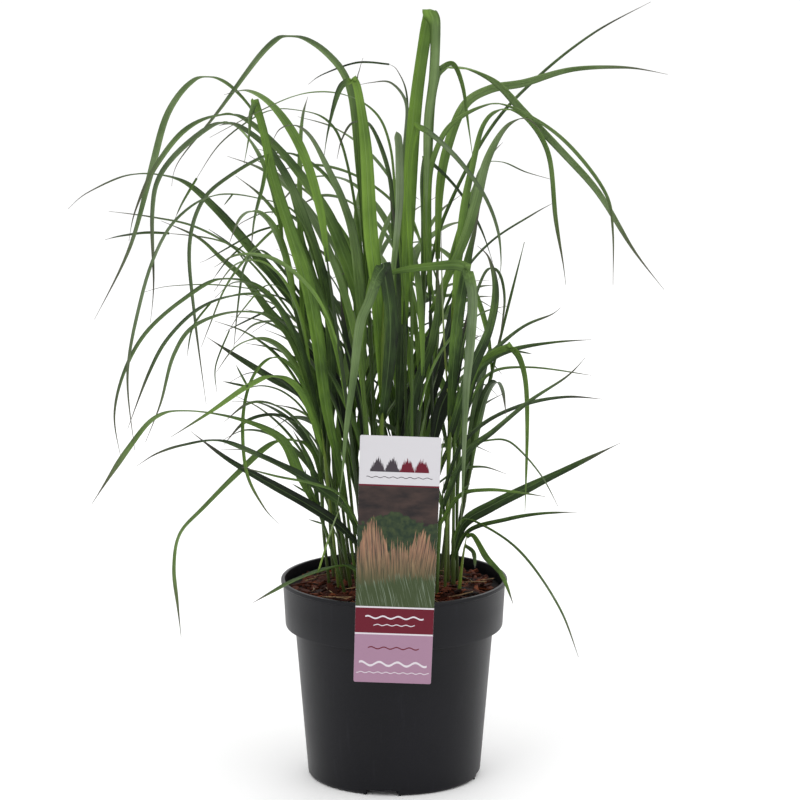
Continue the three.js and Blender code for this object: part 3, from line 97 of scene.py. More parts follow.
# The stems given one by one: the foot's (x, y), the stem's course as (u, v, depth) on a sheet square to the
# eye's view, and its leaves. A leaf has the height where it leaves the stem, or the earlier leaf that it
# starts on and the share of that leaf's length; the depth of its tip; how far its width is rolled from the
# sheet, in degrees; its widths; and its course, u and v by turns.
handStems = [
    ((-12, 16), ((-16, 300, 20), (-22, 436, 26)), [
        (400, 60, 35, (3, 5, 6, 5.5, 4, 1), (-25, 470, -30, 530, -37, 597, -57, 628, -85, 642, -108, 631,
            -149, 577, -181, 537, -187, 516)),
        (380, -10, 40, (2, 3, 2.5, 2, 1), (-30, 480, -42, 545, -56, 571, -81, 580, -109, 578, -145, 553,
            -167, 521)),
        (420, 40, 20, (2, 2.5, 1), (-29, 540, -31, 600, -29, 614, -26, 624)),
    ]),
    ((-37, 30), ((-50, 300, 38), (-60, 400, 44)), [
        (380, 75, 30, (3, 4, 2.5, 2, 5, 6.5, 4, 1), (-72, 450, -88, 515, -104, 552, -122, 584, -145, 605,
            -168, 605, -190, 577, -204, 528, -222, 464, -252, 404)),
        (320, 90, 25, (3, 7, 8, 6, 3, 1), (-54, 345, -81, 384, -104, 409, -125, 437, -145, 455, -165, 473,
            -196, 487)),
        (340, 120, 45, (2, 3, 2.5, 1), (-64, 372, -90, 413, -125, 456, -165, 481, -203, 490, -240, 495)),
    ]),
    ((-20, -8), ((-24, 300, -10), (-29, 405, -10)), [
        (370, -30, 25, (4, 11, 9, 6, 5, 4.5, 1), (-30, 421, -45, 466, -61, 500, -96, 546, -127, 573,
            -150, 575, -178, 561, -203, 528, -218, 494, -223, 470)),
        (390, 20, 30, (3, 4, 3.5, 3.5, 3, 1), (-34, 470, -50, 515, -76, 539, -103, 543, -139, 524,
            -162, 502, -172, 465, -168, 410, -158, 333)),
        (350, -60, 25, (4, 7.5, 7, 5, 1), (-27, 400, -33, 466, -43, 502, -57, 533, -70, 557, -83, 567,
            -96, 564, -103, 552)),
        (280, 10, 25, (4, 6.5, 6, 1), (-27, 325, -34, 355, -41, 390, -45, 424)),
    ]),
    ((-44, 4), ((-50, 260, 4), (-53, 352, 4)), [
        (330, -50, 25, (5, 8.5, 7.5, 5.5, 5, 4, 1), (-53, 385, -58, 432, -80, 500, -97, 535, -115, 556,
            -143, 569.5, -172, 553, -196, 526, -203, 495, -202, 434, -205, 401)),
        (345, -90, 40, (3, 3, 2.5, 4, 3.5, 1), (-60, 430, -80, 490, -115, 506, -152, 508, -181, 490,
            -199, 462, -213, 419, -224, 358, -218, 294)),
    ]),
    ((-52, 20), ((-55, 260, 24), (-55, 340, 28)), [
        (320, 40, 20, (5, 9, 8, 6, 3.5, 1), (-62, 390, -80, 415, -115, 457, -150, 497, -180, 521, -219, 526,
            -257, 511, -274, 497)),
        (285, 70, 20, (4, 6.5, 6, 1), (-62, 325, -81, 343, -104, 355, -128, 370, -157, 389)),
        (310, 100, 40, (2, 3, 2, 1), (-78, 400, -115, 450, -146, 470, -195, 477)),
    ]),
    ((-31, -22), ((-36, 215, -24), (-42, 262, -27)), [
        (245, -45, 20, (4, 7, 9.5, 10, 8, 5), (-46, 280, -57, 330, -64, 385, -73, 433, -87, 477, -102, 524,
            -110, 562, -118, 591)),
        ((0, 0.99), -50, 30, (5, 4, 1), (-121, 575, -122, 558, -126, 535)),
        ((0, 0.86), -58, 30, (4, 3, 1), (-110, 518, -117, 490, -120, 465)),
    ]),
    ((-8, -34), ((-10, 270, -37), (-10, 362, -42), (-8, 434, -46)), [
        (335, -55, 20, (4, 9, 10, 8.5, 5), (-15, 430, -20, 478, -24, 550, -31, 598, -37, 607)),
        ((0, 0.99), -62, 20, (5, 4, 3, 1), (-44, 600, -50, 585, -56, 560, -59, 540)),
        (390, -62, 30, (3, 5, 6, 6), (-2, 440, 4, 500, 4, 545, 2, 562)),
        (320, -86, 20, (5, 9, 10, 8.5), (-4, 370, -3, 410, -9, 451)),
        ((3, 0.98), -112, 15, (8, 7.4, 6.8, 6, 5, 3.5, 1.5, 1), (-14, 440, -21, 420, -29, 400, -34, 358,
            -40, 314, -44, 269, -49, 242)),
        (428, -84, 15, (2, 4, 5.4, 6.4, 6.4), (-4, 442, 16, 447, 36, 449, 53, 450, 63, 446)),
        ((5, 0.98), -104, 15, (6.6, 7, 5.8, 4.2, 2.6, 1), (66, 425, 64.5, 387, 61, 350, 59.5, 314,
            57.8, 263, 56, 231)),
    ]),
    ((3, 5), ((3, 330, 7), (4, 456, 9)), [
        (425, -10, 40, (4, 5.5, 5.5, 5, 3, 1), (0, 470, -2, 510, -9, 542, -21, 568, -35, 569, -44, 555,
            -48, 539)),
        (440, 25, 40, (4, 6, 5.5, 5, 3, 1), (7, 520, 10, 560, 9.5, 587, -3, 603, -20, 603, -30, 601)),
        (448, 50, 20, (2, 2.5, 2, 1), (9, 540, 11, 590, 3, 613, -5, 619)),
        (315, -20, 20, (5, 8, 9, 6, 1), (6, 370, 6, 420, 3, 470, -4, 510)),
        (296, 30, 20, (5, 7, 5, 1), (10, 330, 18, 356, 28, 385, 38, 412)),
    ]),
    ((10, -14), ((10, 320, -16), (8, 432, -17)), [
        (400, -10, 25, (5, 9.5, 10.5, 9), (12, 500, 17, 580, 25, 640, 30.5, 665)),
        ((0, 0.99), -32, 30, (8, 8, 6, 4, 1), (34, 650, 33, 610, 28, 570, 27, 520, 27, 470)),
        (415, -70, 40, (2, 2.5, 2.5, 2, 1), (1, 510, -4, 552, -16, 578, -42, 593, -75, 594, -109, 581,
            -155, 557)),
        (285, -34, 20, (4, 8, 6, 1), (18, 345, 31, 382, 37, 420, 36, 452)),
    ]),
    ((21, 12), ((23, 330, 14), (26, 465, 16)), [
        (450, 50, 30, (3, 3, 3.5, 5.5, 7.5, 6.5, 4, 1), (27, 560, 36, 608, 55, 616, 84, 605, 111, 577,
            142, 545, 172, 511, 201, 463, 227, 429)),
        (440, -4, 25, (3, 4, 4), (30, 540, 33, 590, 39, 619)),
        ((1, 0.98), -12, 30, (4, 4, 3, 1), (50, 619, 58, 600, 62, 572, 66, 541)),
        (305, 40, 20, (5, 9, 9, 6, 1), (29, 336, 38, 365, 46, 395, 52, 425, 56, 452)),
    ]),
    ((32, -6), ((32, 320, -7), (30, 442, -8)), [
        (425, -50, 25, (4, 5.5, 4.5, 4, 3, 1), (28.5, 510, 35, 546, 51, 571, 85, 585.7, 120, 572, 150, 548,
            178, 510, 184, 478, 184, 433)),
        (410, -75, 25, (4, 7.5, 7.5, 5, 1), (56, 465, 68, 500, 78, 538, 94, 566, 111, 573, 124, 562)),
        (295, -40, 20, (5, 9.5, 9, 5, 1), (39, 328, 48, 350, 56, 380, 62, 412)),
    ]),
    ((46, 6), ((46, 290, 7), (50, 425, 8)), [
        (405, 40, 30, (4, 7.5, 6, 4, 4.5, 4, 1), (57, 490, 66, 535, 75, 568, 90, 580.7, 111, 574, 130, 543,
            136, 489, 142, 452, 144.4, 433)),
        (412, 90, 30, (2, 3, 2, 1), (62, 490, 73, 531, 90, 536.6, 111, 528, 135, 521)),
        (325, 70, 25, (4, 5, 4, 3, 1), (66, 360, 88, 382, 110, 399, 132, 408, 140, 414)),
    ]),
    ((30, 34), ((34, 320, 37), (37, 480, 40)), [
        (455, 70, 25, (4, 7, 7, 6, 4, 1), (38, 513, 45, 550, 59, 584, 81, 598, 109, 603, 150, 614.5,
            195, 616, 230, 610)),
        (395, 100, 30, (2, 3, 2, 1), (56, 440, 82, 470, 116, 492, 134, 502)),
    ]),
    ((14, 44), ((18, 320, 48), (26, 442, 52)), [
        (425, 105, 20, (3, 3, 2.5, 1), (42, 490, 80, 563, 121, 608, 168, 645, 216, 671)),
        (400, 40, 30, (3, 3.5, 3.5), (24, 480, 23, 520, 26, 543)),
        ((1, 0.98), 25, 30, (3.5, 3, 2.5, 1), (44, 524, 60, 504, 74, 478, 83, 452)),
    ]),
    ((15, -34), ((15, 320, -37), (15, 452, -40)), [
        (436, -60, 25, (4, 4.5, 4.5), (12, 500, 14, 545, 20, 570)),
        ((0, 0.98), -95, 25, (4, 4, 3, 2.5, 1), (36, 556, 56, 536, 76, 508, 87, 480, 90, 453, 88, 437)),
        (285, -72, 25, (4, 7, 5, 1), (2, 330, -14, 372, -22, 425)),
    ]),
    ((43, -22), ((45, 260, -24), (48, 340, -26)), [
        (320, -30, 20, (5, 8.5, 7, 1), (52, 390, 60, 445, 68, 480, 73, 502)),
        (305, -80, 30, (5, 8, 8.5, 6, 1), (62, 355, 79, 395, 85, 428, 80, 455, 70, 466)),
        (330, -45, 35, (2, 3, 3, 1), (62, 400, 76, 443, 88, 444, 93, 420, 88, 384)),
    ]),
    ((54, 14), ((53, 250, 15), (56, 322, 17)), [
        (295, 60, 25, (4, 5.5, 5, 3, 1), (65, 348, 78, 368, 100, 379, 135, 385, 166, 387)),
        (305, -8, 30, (3, 5, 5), (67, 358, 80, 374, 99, 382.5)),
        ((1, 0.98), -30, 25, (5, 4, 2.5, 1), (105.5, 372, 111, 350, 112, 310, 110, 242)),
        (312, 100, 30, (2, 3, 2, 1), (77, 356, 112, 364, 166, 357)),
    ]),
    ((36, -40), ((38, 225, -42), (42, 268, -44)), [
        (245, -75, 25, (4, 5.5, 4.5, 3, 1), (60.6, 291, 83, 310, 113, 335, 145, 356, 161, 372)),
        (258, -20, 30, (3, 4, 3.5, 1), (55, 296, 77, 318, 110, 333, 145, 339, 175, 337)),
        (232, -105, 30, (3, 4, 3, 1), (55, 256, 77, 261, 103, 259, 127, 255)),
    ]),
    ((50, -10), ((50, 240, -11), (51, 330, -12)), [
        (205, -10, 20, (5, 8.5, 7.5, 5, 1), (58, 232, 83, 248, 117, 265, 150, 281, 190, 300)),
        (200, -60, 30, (3, 4, 3, 1), (62, 226, 94, 236, 124, 241, 154, 242)),
        (218, -90, 30, (2.5, 2.5, 2.5, 1), (58, 236, 77, 230, 102, 213, 123, 188, 142, 156, 155, 120)),
        (300, 10, 20, (4, 6, 1), (58, 345, 63, 370, 64, 395)),
    ]),
    ((55, -24), ((58, 205, -26), (61.5, 224, -28)), [
        (214, -40, 20, (3, 4, 1), (67, 208, 68, 195)),
        (221, -78, 25, (3, 5.5, 4, 1), (67, 222, 78, 204, 91, 189, 100, 165)),
    ]),
    ((-42, -32), ((-57, 225, -38), (-70, 258, -44)), [
        (248, -95, 20, (5, 8.5, 6, 4, 3.5, 4.5, 1), (-81, 277, -95, 303, -128, 319, -170, 327, -200, 322,
            -223, 296, -254, 249)),
        (240, -30, 20, (3, 4.5, 1), (-68, 274, -74, 291, -85, 311)),
    ]),
    ((-55, -8), ((-60, 240, -11), (-62, 345, -16)), [
        (330, -40, 35, (3, 5, 4.5, 4, 4, 1), (-80, 385, -108, 427, -145, 438, -178, 420, -209, 392,
            -227, 359, -235, 323, -230, 289)),
        (315, -90, 35, (3, 5, 5, 4, 1), (-78, 378, -100, 418, -128, 425, -162, 414, -189, 389, -206, 359,
            -224, 312)),
        (300, 10, 35, (3, 5, 4.5, 4, 1), (-78, 365, -99, 402, -130, 410.5, -167, 399, -185, 374, -196, 334,
            -209, 301)),
        (265, -110, 30, (3, 5, 5.5, 4, 2.5, 3.5, 1), (-68, 292, -82, 302, -103, 299, -130, 276, -160, 246,
            -180, 224, -185, 196, -182, 165, -179, 137)),
    ]),
    ((-25, -46), ((-28, 210, -48), (-30, 235, -50)), [
        (222, -90, 20, (4, 7.5, 7, 5, 3.5, 1), (-39, 244, -57, 258, -81, 274, -115, 290, -147, 302,
            -178, 298, -200, 291, -216, 281)),
        (212, -58, 20, (4, 7.5, 6.5, 4, 1), (-45, 230, -70, 247, -104, 266, -139, 286, -171, 310)),
        (230, -125, 30, (2, 3, 2, 1), (-45, 256, -68, 266, -98, 272, -128, 280)),
        (190, -82, 30, (4, 7.5, 5, 1), (-42, 197, -64, 192, -87, 183, -118.5, 166)),
    ]),
    ((-47, -19), ((-54, 250, -28), (-61, 312, -38)), [
        (300, -70, 35, (3, 4, 3.5, 3.5, 3, 1), (-76, 348, -93, 370, -108, 369, -121, 350, -127, 318,
            -124, 276, -110, 247, -97, 232)),
        (290, -85, 25, (3, 5, 5, 4, 1), (-78, 342, -100, 356, -124, 347, -156, 325, -188, 305)),
    ]),
    ((-30, 12), ((-44, 330, 17), (-56, 425, 20)), [
        (408, 60, 30, (3, 4, 3.5, 1), (-70, 468, -85, 490, -106, 494, -125, 487, -134, 481)),
        (398, 30, 30, (2, 3, 2.5, 1), (-77, 470, -93, 483, -115, 466, -140, 434, -155, 399, -162, 381)),
        (380, -10, 35, (2, 3, 2.5, 1), (-88, 438, -112, 462, -125, 450, -130, 425, -135, 378)),
        (350, 85, 35, (2, 3.5, 3, 1), (-80, 410, -110, 427, -150, 433, -189, 432, -210, 427)),
        (340, 55, 30, (2, 3, 2, 1), (-82, 415, -105, 433, -128, 411, -139, 394)),
        (305, 75, 20, (5, 9, 7, 4, 1), (-50, 352, -67, 373, -89, 400, -106, 430)),
    ]),
]


throw = {"times": 1664525, "plus": 1013904223, "sides": 4294967296}


def dice(seed):  # the same throws in every run, and in any language
    state = [seed]

    def draw():
        state[0] = (state[0] * throw["times"] + throw["plus"]) % throw["sides"]
        return state[0] / throw["sides"]

    return draw


def pairsOf(course):
    return [list(pair) for pair in zip(course[::2], course[1::2])]


def between(span, share):
    return span[0] + (span[1] - span[0]) * share


def upFrom(span, share):
    return span[0] + span[1] * share


def place(u, v, depth):  # the real point at a depth that shows at (u, v)
    mark = aim + across * (u - sheet["middle"][0]) + upward * (v - sheet["middle"][1])
    return eye + (mark - eye) * ((depth - eye[1]) / (mark[1] - eye[1]))


def seen(point):  # where a real point shows, and its depth
    line = point - eye
    scale = sheet["distance"] / line.dot(inward)
    u, v = sheet["middle"][0] + scale * line.dot(across), sheet["middle"][1] + scale * line.dot(upward)
    return [u, v, point[1]]


def catmullRom(a, b, c, d, t):
    bend = 2 * a - 5 * b + 4 * c - d
    cube = 3 * b - a - 3 * c + d
    return b + 0.5 * t * (c - a + t * (bend + t * cube))


def smooth(course, segments):  # evenly spaced marks along a smooth course
    spots = [np.array(spot, dtype=float) for spot in course]
    fine = []
    for i in range(len(spots) - 1):
        a, b, c, d = spots[max(i - 1, 0)], spots[i], spots[i + 1], spots[min(i + 2, len(spots) - 1)]
        fine += [catmullRom(a, b, c, d, step / leafSize["fine"]) for step in range(leafSize["fine"])]
    fine.append(spots[-1])
    run = [0.0]
    for a, b in zip(fine, fine[1:]):
        run.append(run[-1] + math.hypot(*(b - a)))
    marks = []
    i = 0
    for n in range(segments + 1):
        at = run[-1] * n / segments
        while i < len(run) - 2 and run[i + 1] < at:
            i += 1
        marks.append(fine[i] + (fine[i + 1] - fine[i]) * ((at - run[i]) / (run[i + 1] - run[i])))
    return marks


def along(values, share):
    at = share * (len(values) - 1)
    i = min(int(at), len(values) - 2)
    return values[i] + (values[i + 1] - values[i]) * (at - i)


# what the stems and leaves take up so far, as straight stretches with a radius
taken = {"p": np.zeros((0, 3)), "q": np.zeros((0, 3)), "radius": np.zeros(0), "owner": np.zeros(0)}


def takeUp(owner, ribs):
    for points, radius in ribs:
        taken["p"] = np.vstack([taken["p"], points[:-1]])
        taken["q"] = np.vstack([taken["q"], points[1:]])
        count = len(points) - 1
        taken["radius"] = np.append(taken["radius"], np.full(count, radius))
        taken["owner"] = np.append(taken["owner"], np.full(count, owner))


def touches(owner, points, radius):  # whether a line comes too near to another stem's
    others = taken["owner"] != owner
    low = np.min(points, axis=0) - radius - leafSize["clear"]
    high = np.max(points, axis=0) + radius + leafSize["clear"]
    reach = taken["radius"][:, None]
    near = np.all(np.minimum(taken["p"], taken["q"]) - reach < high, axis=1)
    near &= np.all(np.maximum(taken["p"], taken["q"]) + reach > low, axis=1)
    r, s = taken["p"][others & near], taken["q"][others & near]
    room = radius + taken["radius"][others & near] + leafSize["clear"]
    if not len(r):
        return False
    # the gap between two straight stretches, from their nearest points
    d2 = s - r
    e = np.sum(d2 * d2, axis=1)
    for p, q in zip(points, points[1:]):
        d1 = q - p
        d = p - r
        a = d1.dot(d1)
        f = np.sum(d2 * d, axis=1)
        c = d @ d1
        b = d2 @ d1
        slack = a * e - b * b
        m = np.where(slack > tiny, np.clip((b * f - c * e) / np.where(slack > tiny, slack, 1), 0, 1), 0)
        n = (b * m + f) / e
        outside = (n < 0) | (n > 1)
        n = np.clip(n, 0, 1)
        m = np.where(outside, np.clip((b * n - c) / a, 0, 1), m)
        gap = np.linalg.norm((p + d1 * m[:, None]) - (r + d2 * n[:, None]), axis=1)
        if np.any(gap < room):
            return True
    return False


def barkHeight(r):
    return soil["barkTop"] + soil["crown"] * (1 - (r / (pot["collarFoot"] - pot["wall"])) ** 2)


def clearOfPot(point, radius):
    room = radius + leafSize["clear"]
    r = math.hypot(point[0], point[1])
    if r < pot["rim"] + room and point[2] < pot["height"] + room and r > soil["reach"]:
        return False
    if r <= soil["reach"] and point[2] < barkHeight(r) + soil["chipThick"] + room:
        return False
    up = point[2] - card["foot"]
    if up < -room or up > card["height"] + room:
        return True
    middle = card["footX"] + up * math.tan(math.radians(card["lean"]))
    if abs(point[0] - middle) > card["topWidth"] / 2 + room:
        return True
    return abs(point[1] + pot["rim"] + card["gap"] + card["thick"] / 2) > card["thick"] / 2 + room


def isFree(owner, ribs, rooted):
    for points, radius in ribs:
        for i in range(rooted, len(points) - 1):
            for t in leafSize["checks"]:
                if not clearOfPot(points[i] + (points[i + 1] - points[i]) * t, radius):
                    return False
    return not any(touches(owner, points, radius) for points, radius in ribs)


def unit(v):
    return v / math.sqrt(v.dot(v))


def widthWays(points, sideways, roll):  # the way that a leaf's width runs at each point
    ways = []
    last = len(points) - 1
    for i, point in enumerate(points):
        tangent = unit(points[min(i + 1, last)] - points[max(i - 1, 0)])
        side = sideways(point, tangent)
        side = unit(side - tangent * side.dot(tangent))
        face = np.cross(tangent, side)
        ways.append(side * math.cos(math.radians(roll)) + face * math.sin(math.radians(roll)))
    return ways


def layLeaf(points, widths, sideways, roll):  # the lines that stand for a leaf: one, or three side by side
    ways = widthWays(points, sideways, roll)
    sizes = [along(widths, i / (len(points) - 1)) for i in range(len(points))]
    widest = max(sizes)
    wide = widest > leafSize["oneLine"]
    radius = widest / 6 + leafSize["keel"] / 2 if wide else widest / 2 + leafSize["keel"] / 4
    shares = (-1 / 3, 0, 1 / 3) if wide else (0,)
    return [(np.array([p + w * (share * size) for p, w, size in zip(points, ways, sizes)]), radius)
            for share in shares]


def rootedAt(x, y):
    top = barkHeight(0) + soil["chipThick"]
    return [np.array((x, y, soil["stemFoot"]), dtype=float), np.array((x, y, top), dtype=float)]


def raiseStem(foot, rise, owner):
    roots = rootedAt(*foot)
    for bend in stemSize["bends"]:
        marks = [seen(roots[1])]
        for i, (u, v, depth) in enumerate(rise):
            marks.append([u, v, depth + bend * (1 if i else stemSize["lowBend"])])
        points = roots + [place(*mark) for mark in marks[1:]]
        ribs = [(np.array(points), stemSize["footRadius"])]
        if bend == stemSize["bends"][-1] or isFree(owner, ribs, 2):
            takeUp(owner, ribs)
            return {"owner": owner, "marks": marks, "points": points, "leaves": []}


def markAt(marks, v):
    i = 0
    while i < len(marks) - 2 and marks[i + 1][1] < v:
        i += 1
    t = (v - marks[i][1]) / (marks[i + 1][1] - marks[i][1])
    return [marks[i][k] + (marks[i + 1][k] - marks[i][k]) * t for k in range(3)]


# what a leaf's tip and middle may be moved by, in depth, to find room
bends = [(0, 0)]
for move in range(leafSize["bendStep"], leafSize["bendMost"] + 1, leafSize["bendStep"]):
    for tip, middle in ((1, 0), (-1, 0), (0, 0.5), (0, -0.5), (1, 0.5), (-1, -0.5), (1, -0.5), (-1, 0.5)):
        bends.append((tip * move, middle * move))


def toEye(point, tangent):
    return np.cross(unit(eye - point), tangent)


def depthPath(marks, start, end, middle):
    last = len(marks) - 1
    points = []
    for i, (u, v) in enumerate(marks):
        share = i / last
        depth = start + (end - start) * share + middle * math.sin(math.pi * share)
        points.append(place(u, v, depth))
    return points


def keepLeaf(plant, ribs, points, fine, widths, roll, level=None, on=None, share=1):
    takeUp(plant["owner"], ribs)
    plant["leaves"].append({"points": points, "fine": np.array(fine), "widths": widths, "roll": roll,
                            "level": level, "on": on, "share": share})


def layHandLeaf(plant, start, deep, roll, width, course):
    on, share = start if isinstance(start, tuple) else (None, 1)
    first = markAt(plant["marks"], start) if on is None else seen(along(plant["leaves"][on]["points"], share))
    course = [first[:2]] + pairsOf(course)
    length = sum(math.hypot(b[0] - a[0], b[1] - a[1]) for a, b in zip(course, course[1:]))
    segments = math.floor(min(max(length / leafSize["step"], leafSize["fewest"]), leafSize["most"]) + 0.5)
    marks = smooth(course, segments)
    widths = [size + leafSize["swell"] * max(size - leafSize["oneLine"], 0) for size in width]
    for tip, middle in bends:
        points = depthPath(marks, first[2], deep + tip, middle)
        ribs = layLeaf(points, widths, toEye, roll)
        if isFree(plant["owner"], ribs, 1):
            fine = depthPath(smooth(course, leafSize["samples"]), first[2], deep + tip, middle)
            keepLeaf(plant, ribs, points, fine, widths, roll, on=on, share=share)
            return
    plant["leaves"].append(None)


def archLeaf(start, turn, length, steep, droop, sweep):
    points = [start]
    for i in range(rest["segments"]):
        share = (i + 0.5) / rest["segments"]
        down = math.radians(steep + (droop - steep) * share ** rest["droopLate"])
        way = math.radians(turn + sweep * share)
        step = np.array((math.sin(down) * math.cos(way), math.sin(down) * math.sin(way), math.cos(down)))
        points.append(points[i] + step * (length / rest["segments"]))
    return points


def inReach(points):
    if any(point[1] < rest["windowDepth"] and abs(point[0]) < rest["windowHalf"] for point in points[2:]):
        return False
    low, high = np.min(points, axis=0), np.max(points, axis=0)
    return bool(np.all(low > rest["low"]) and np.all(high < rest["high"]))


def restFoot(i):  # feet spread evenly over the bark, as seeds are in a flower head
    least, more = rest["rings"]
    r = rest["spread"] * math.sqrt(((i * rest["ringStep"]) % 1) * more + least)
    turn = math.radians(i * rest["turnStep"] + rest["firstTurn"])
    return r * math.cos(turn), r * math.sin(turn)


def raiseRestStem(foot, owner, draw):
    roots = rootedAt(*foot)
    out = math.hypot(*foot) / rest["spread"]
    turn = math.atan2(foot[1], foot[0])
    for i in range(rest["tries"]):
        height = between(rest["height"], draw())
        lean = math.radians(between(rest["lean"], out) + rest["leanDrift"] * (draw() - 0.5))
        way = turn + rest["turnDrift"] * (draw() - 0.5)
        side = np.array((math.cos(way), math.sin(way), 0.0))
        head = roots[1] + (side * math.tan(lean) + np.array((0, 0, 1.0))) * height
        middle = (roots[1] + head) / 2 - side * (rest["bow"] * height)
        points = roots + [middle, head]
        ribs = [(np.array(points), stemSize["footRadius"])]
        if isFree(owner, ribs, 2):
            takeUp(owner, ribs)
            return {"owner": owner, "points": points, "turn": math.degrees(way), "leaves": []}
    return None


def layRestLeaf(plant, number, draw):
    last = rest["leaves"] - 1
    flag = number == last
    share = rest["flagStart"] if flag else rest["start"][0] + rest["start"][1] * number / last
    start = along(plant["points"][1:], share)
    for i in range(rest["tries"]):
        side = 1 if number % 2 else -1
        turn = 360 * draw() if flag else plant["turn"] + side * upFrom(rest["turn"], draw())
        facing = abs(math.sin(math.radians(turn)))
        length = between(rest["flagLength"] if flag else rest["length"], draw())
        length *= 1 if flag else upFrom(rest["facing"], facing)
        steep = upFrom(rest["steep"], draw())
        droop = upFrom(rest["flagDroop"] if flag else rest["droop"], draw())
        sweep = rest["sweep"] * (draw() - 0.5)
        roll = rest["roll"] * (draw() - 0.5)
        width = between(rest["width"], draw())
        points = archLeaf(start, turn, length, steep, droop, sweep)
        level = np.array((-math.sin(math.radians(turn)), math.cos(math.radians(turn)), 0.0))
        widths = [size * width for size in rest["taper"]] + [1]
        ribs = layLeaf(points, widths, lambda point, tangent: level, roll)
        if inReach(points) and isFree(plant["owner"], ribs, 1):
            keepLeaf(plant, ribs, points, smooth(points, leafSize["samples"]), widths, roll, level)
            return


def growPlants():
    plants = [raiseStem(foot, rise, owner) for owner, (foot, rise, leaves) in enumerate(handStems)]
    draw = dice(rest["seed"])
    for i in range(rest["places"]):
        if len(plants) == len(handStems) + rest["stems"]:
            break
        foot = restFoot(i)
        feet = [plant["points"][0] for plant in plants]
        if any(math.hypot(f[0] - foot[0], f[1] - foot[1]) < rest["crowd"] for f in feet):
            continue
        plant = raiseRestStem(foot, len(plants), draw)
        if plant:
            plants.append(plant)
    for plant, (foot, rise, leaves) in zip(plants, handStems):
        for leaf in leaves:
            layHandLeaf(plant, *leaf)
    for plant in plants[len(handStems):]:
        for number in range(rest["leaves"]):
            layRestLeaf(plant, number, draw)
    return [plant for plant in plants if len([leaf for leaf in plant["leaves"] if leaf]) >= rest["fewest"]]


plants = growPlants()
print("leafy stems laid out:", len(plants))


# ---- small helpers for modelling

def deselectAll():
    if bpy.context.mode != "OBJECT":
        bpy.ops.object.mode_set(mode="OBJECT")
    bpy.ops.object.select_all(action="DESELECT")


def activate(*objs):
    deselectAll()
    for obj in objs:
        obj.select_set(True)
    bpy.context.view_layer.objects.active = objs[0]


def justAdded(name):
    obj = bpy.context.object
    obj.name = name
    obj.data.name = name
    return obj


def applyPlace(obj):
    activate(obj)
    bpy.ops.object.transform_apply(location=True, rotation=True, scale=True)


def applyModifier(obj, kind, **settings):
    activate(obj)
    modifier = obj.modifiers.new(kind.lower(), kind)
    for key, value in settings.items():
        setattr(modifier, key, value)
    bpy.ops.object.modifier_apply(modifier=modifier.name)


def copyOf(obj, name):
    new = obj.copy()
    new.data = obj.data.copy()
    new.name = name
    bpy.context.collection.objects.link(new)
    return new


def joinInto(objs, name):
    activate(*objs)
    if len(objs) > 1:
        bpy.ops.object.join()
    return justAdded(name)


def discard(*objs):
    for obj in objs:
        bpy.data.objects.remove(obj, do_unlink=True)


def cut(obj, tool, operation):
    applyModifier(obj, "BOOLEAN", object=tool, operation=operation, solver="EXACT")
    discard(tool)


def finish(obj, material):
    obj.data.materials.clear()
    obj.data.materials.append(material)


def coordsOf(obj):
    flat = np.empty(len(obj.data.vertices) * 3)
    obj.data.vertices.foreach_get("co", flat)
    return flat.reshape(-1, 3)


def setCoords(obj, coords):
    obj.data.vertices.foreach_set("co", np.asarray(coords, dtype=float).ravel())
    obj.data.update()


def setTones(obj, name, values):  # a number at every point, kept when shapes are joined
    layer = obj.data.attributes.get(name) or obj.data.attributes.new(name, "FLOAT", "POINT")
    values = np.broadcast_to(np.asarray(values, dtype=np.float32), len(layer.data))
    layer.data.foreach_set("value", values.copy())


def pickEdges(obj, wanted):  # goes into edit mode with the edges picked by a test of their two ends
    activate(obj)
    bpy.ops.object.mode_set(mode="EDIT")
    bpy.ops.mesh.select_mode(type="EDGE")
    bpy.ops.mesh.select_all(action="DESELECT")
    bpy.ops.object.mode_set(mode="OBJECT")
    for edge in obj.data.edges:
        edge.select = wanted(*(obj.data.vertices[i].co for i in edge.vertices))
    bpy.ops.object.mode_set(mode="EDIT")


def addRod(name, sides, cuts):  # a round stick of radius 1 and length 1, cut into rings
    deselectAll()
    bpy.ops.mesh.primitive_cylinder_add(vertices=sides, radius=1, depth=1)
    rod = justAdded(name)
    pickEdges(rod, lambda a, b: abs(a.z - b.z) > 0.5)
    bpy.ops.mesh.subdivide(number_cuts=cuts)
    bpy.ops.object.mode_set(mode="OBJECT")
    return rod


def turnUp(name, profile, sides, smoothAngle):  # a ring drawn up and in from step to step, as on a wheel
    deselectAll()
    (r, z), steps = profile[0], profile[1:]
    bpy.ops.mesh.primitive_circle_add(vertices=sides, radius=r * mm, fill_type="NGON",
                                      location=(0, 0, z * mm))
    obj = justAdded(name)
    applyPlace(obj)
    bpy.ops.object.mode_set(mode="EDIT")
    bpy.ops.mesh.select_all(action="SELECT")
    for nextR, nextZ in steps:
        bpy.ops.mesh.extrude_region_move(TRANSFORM_OT_translate={"value": (0, 0, (nextZ - z) * mm)})
        grow = nextR / r
        bpy.ops.transform.resize(value=(grow, grow, 1), center_override=(0, 0, nextZ * mm))
        r, z = nextR, nextZ
    bpy.ops.mesh.select_all(action="SELECT")
    bpy.ops.mesh.remove_doubles(threshold=0.00001)
    bpy.ops.mesh.normals_make_consistent(inside=False)
    bpy.ops.object.mode_set(mode="OBJECT")
    activate(obj)
    bpy.ops.object.shade_smooth_by_angle(angle=math.radians(smoothAngle))
    return obj


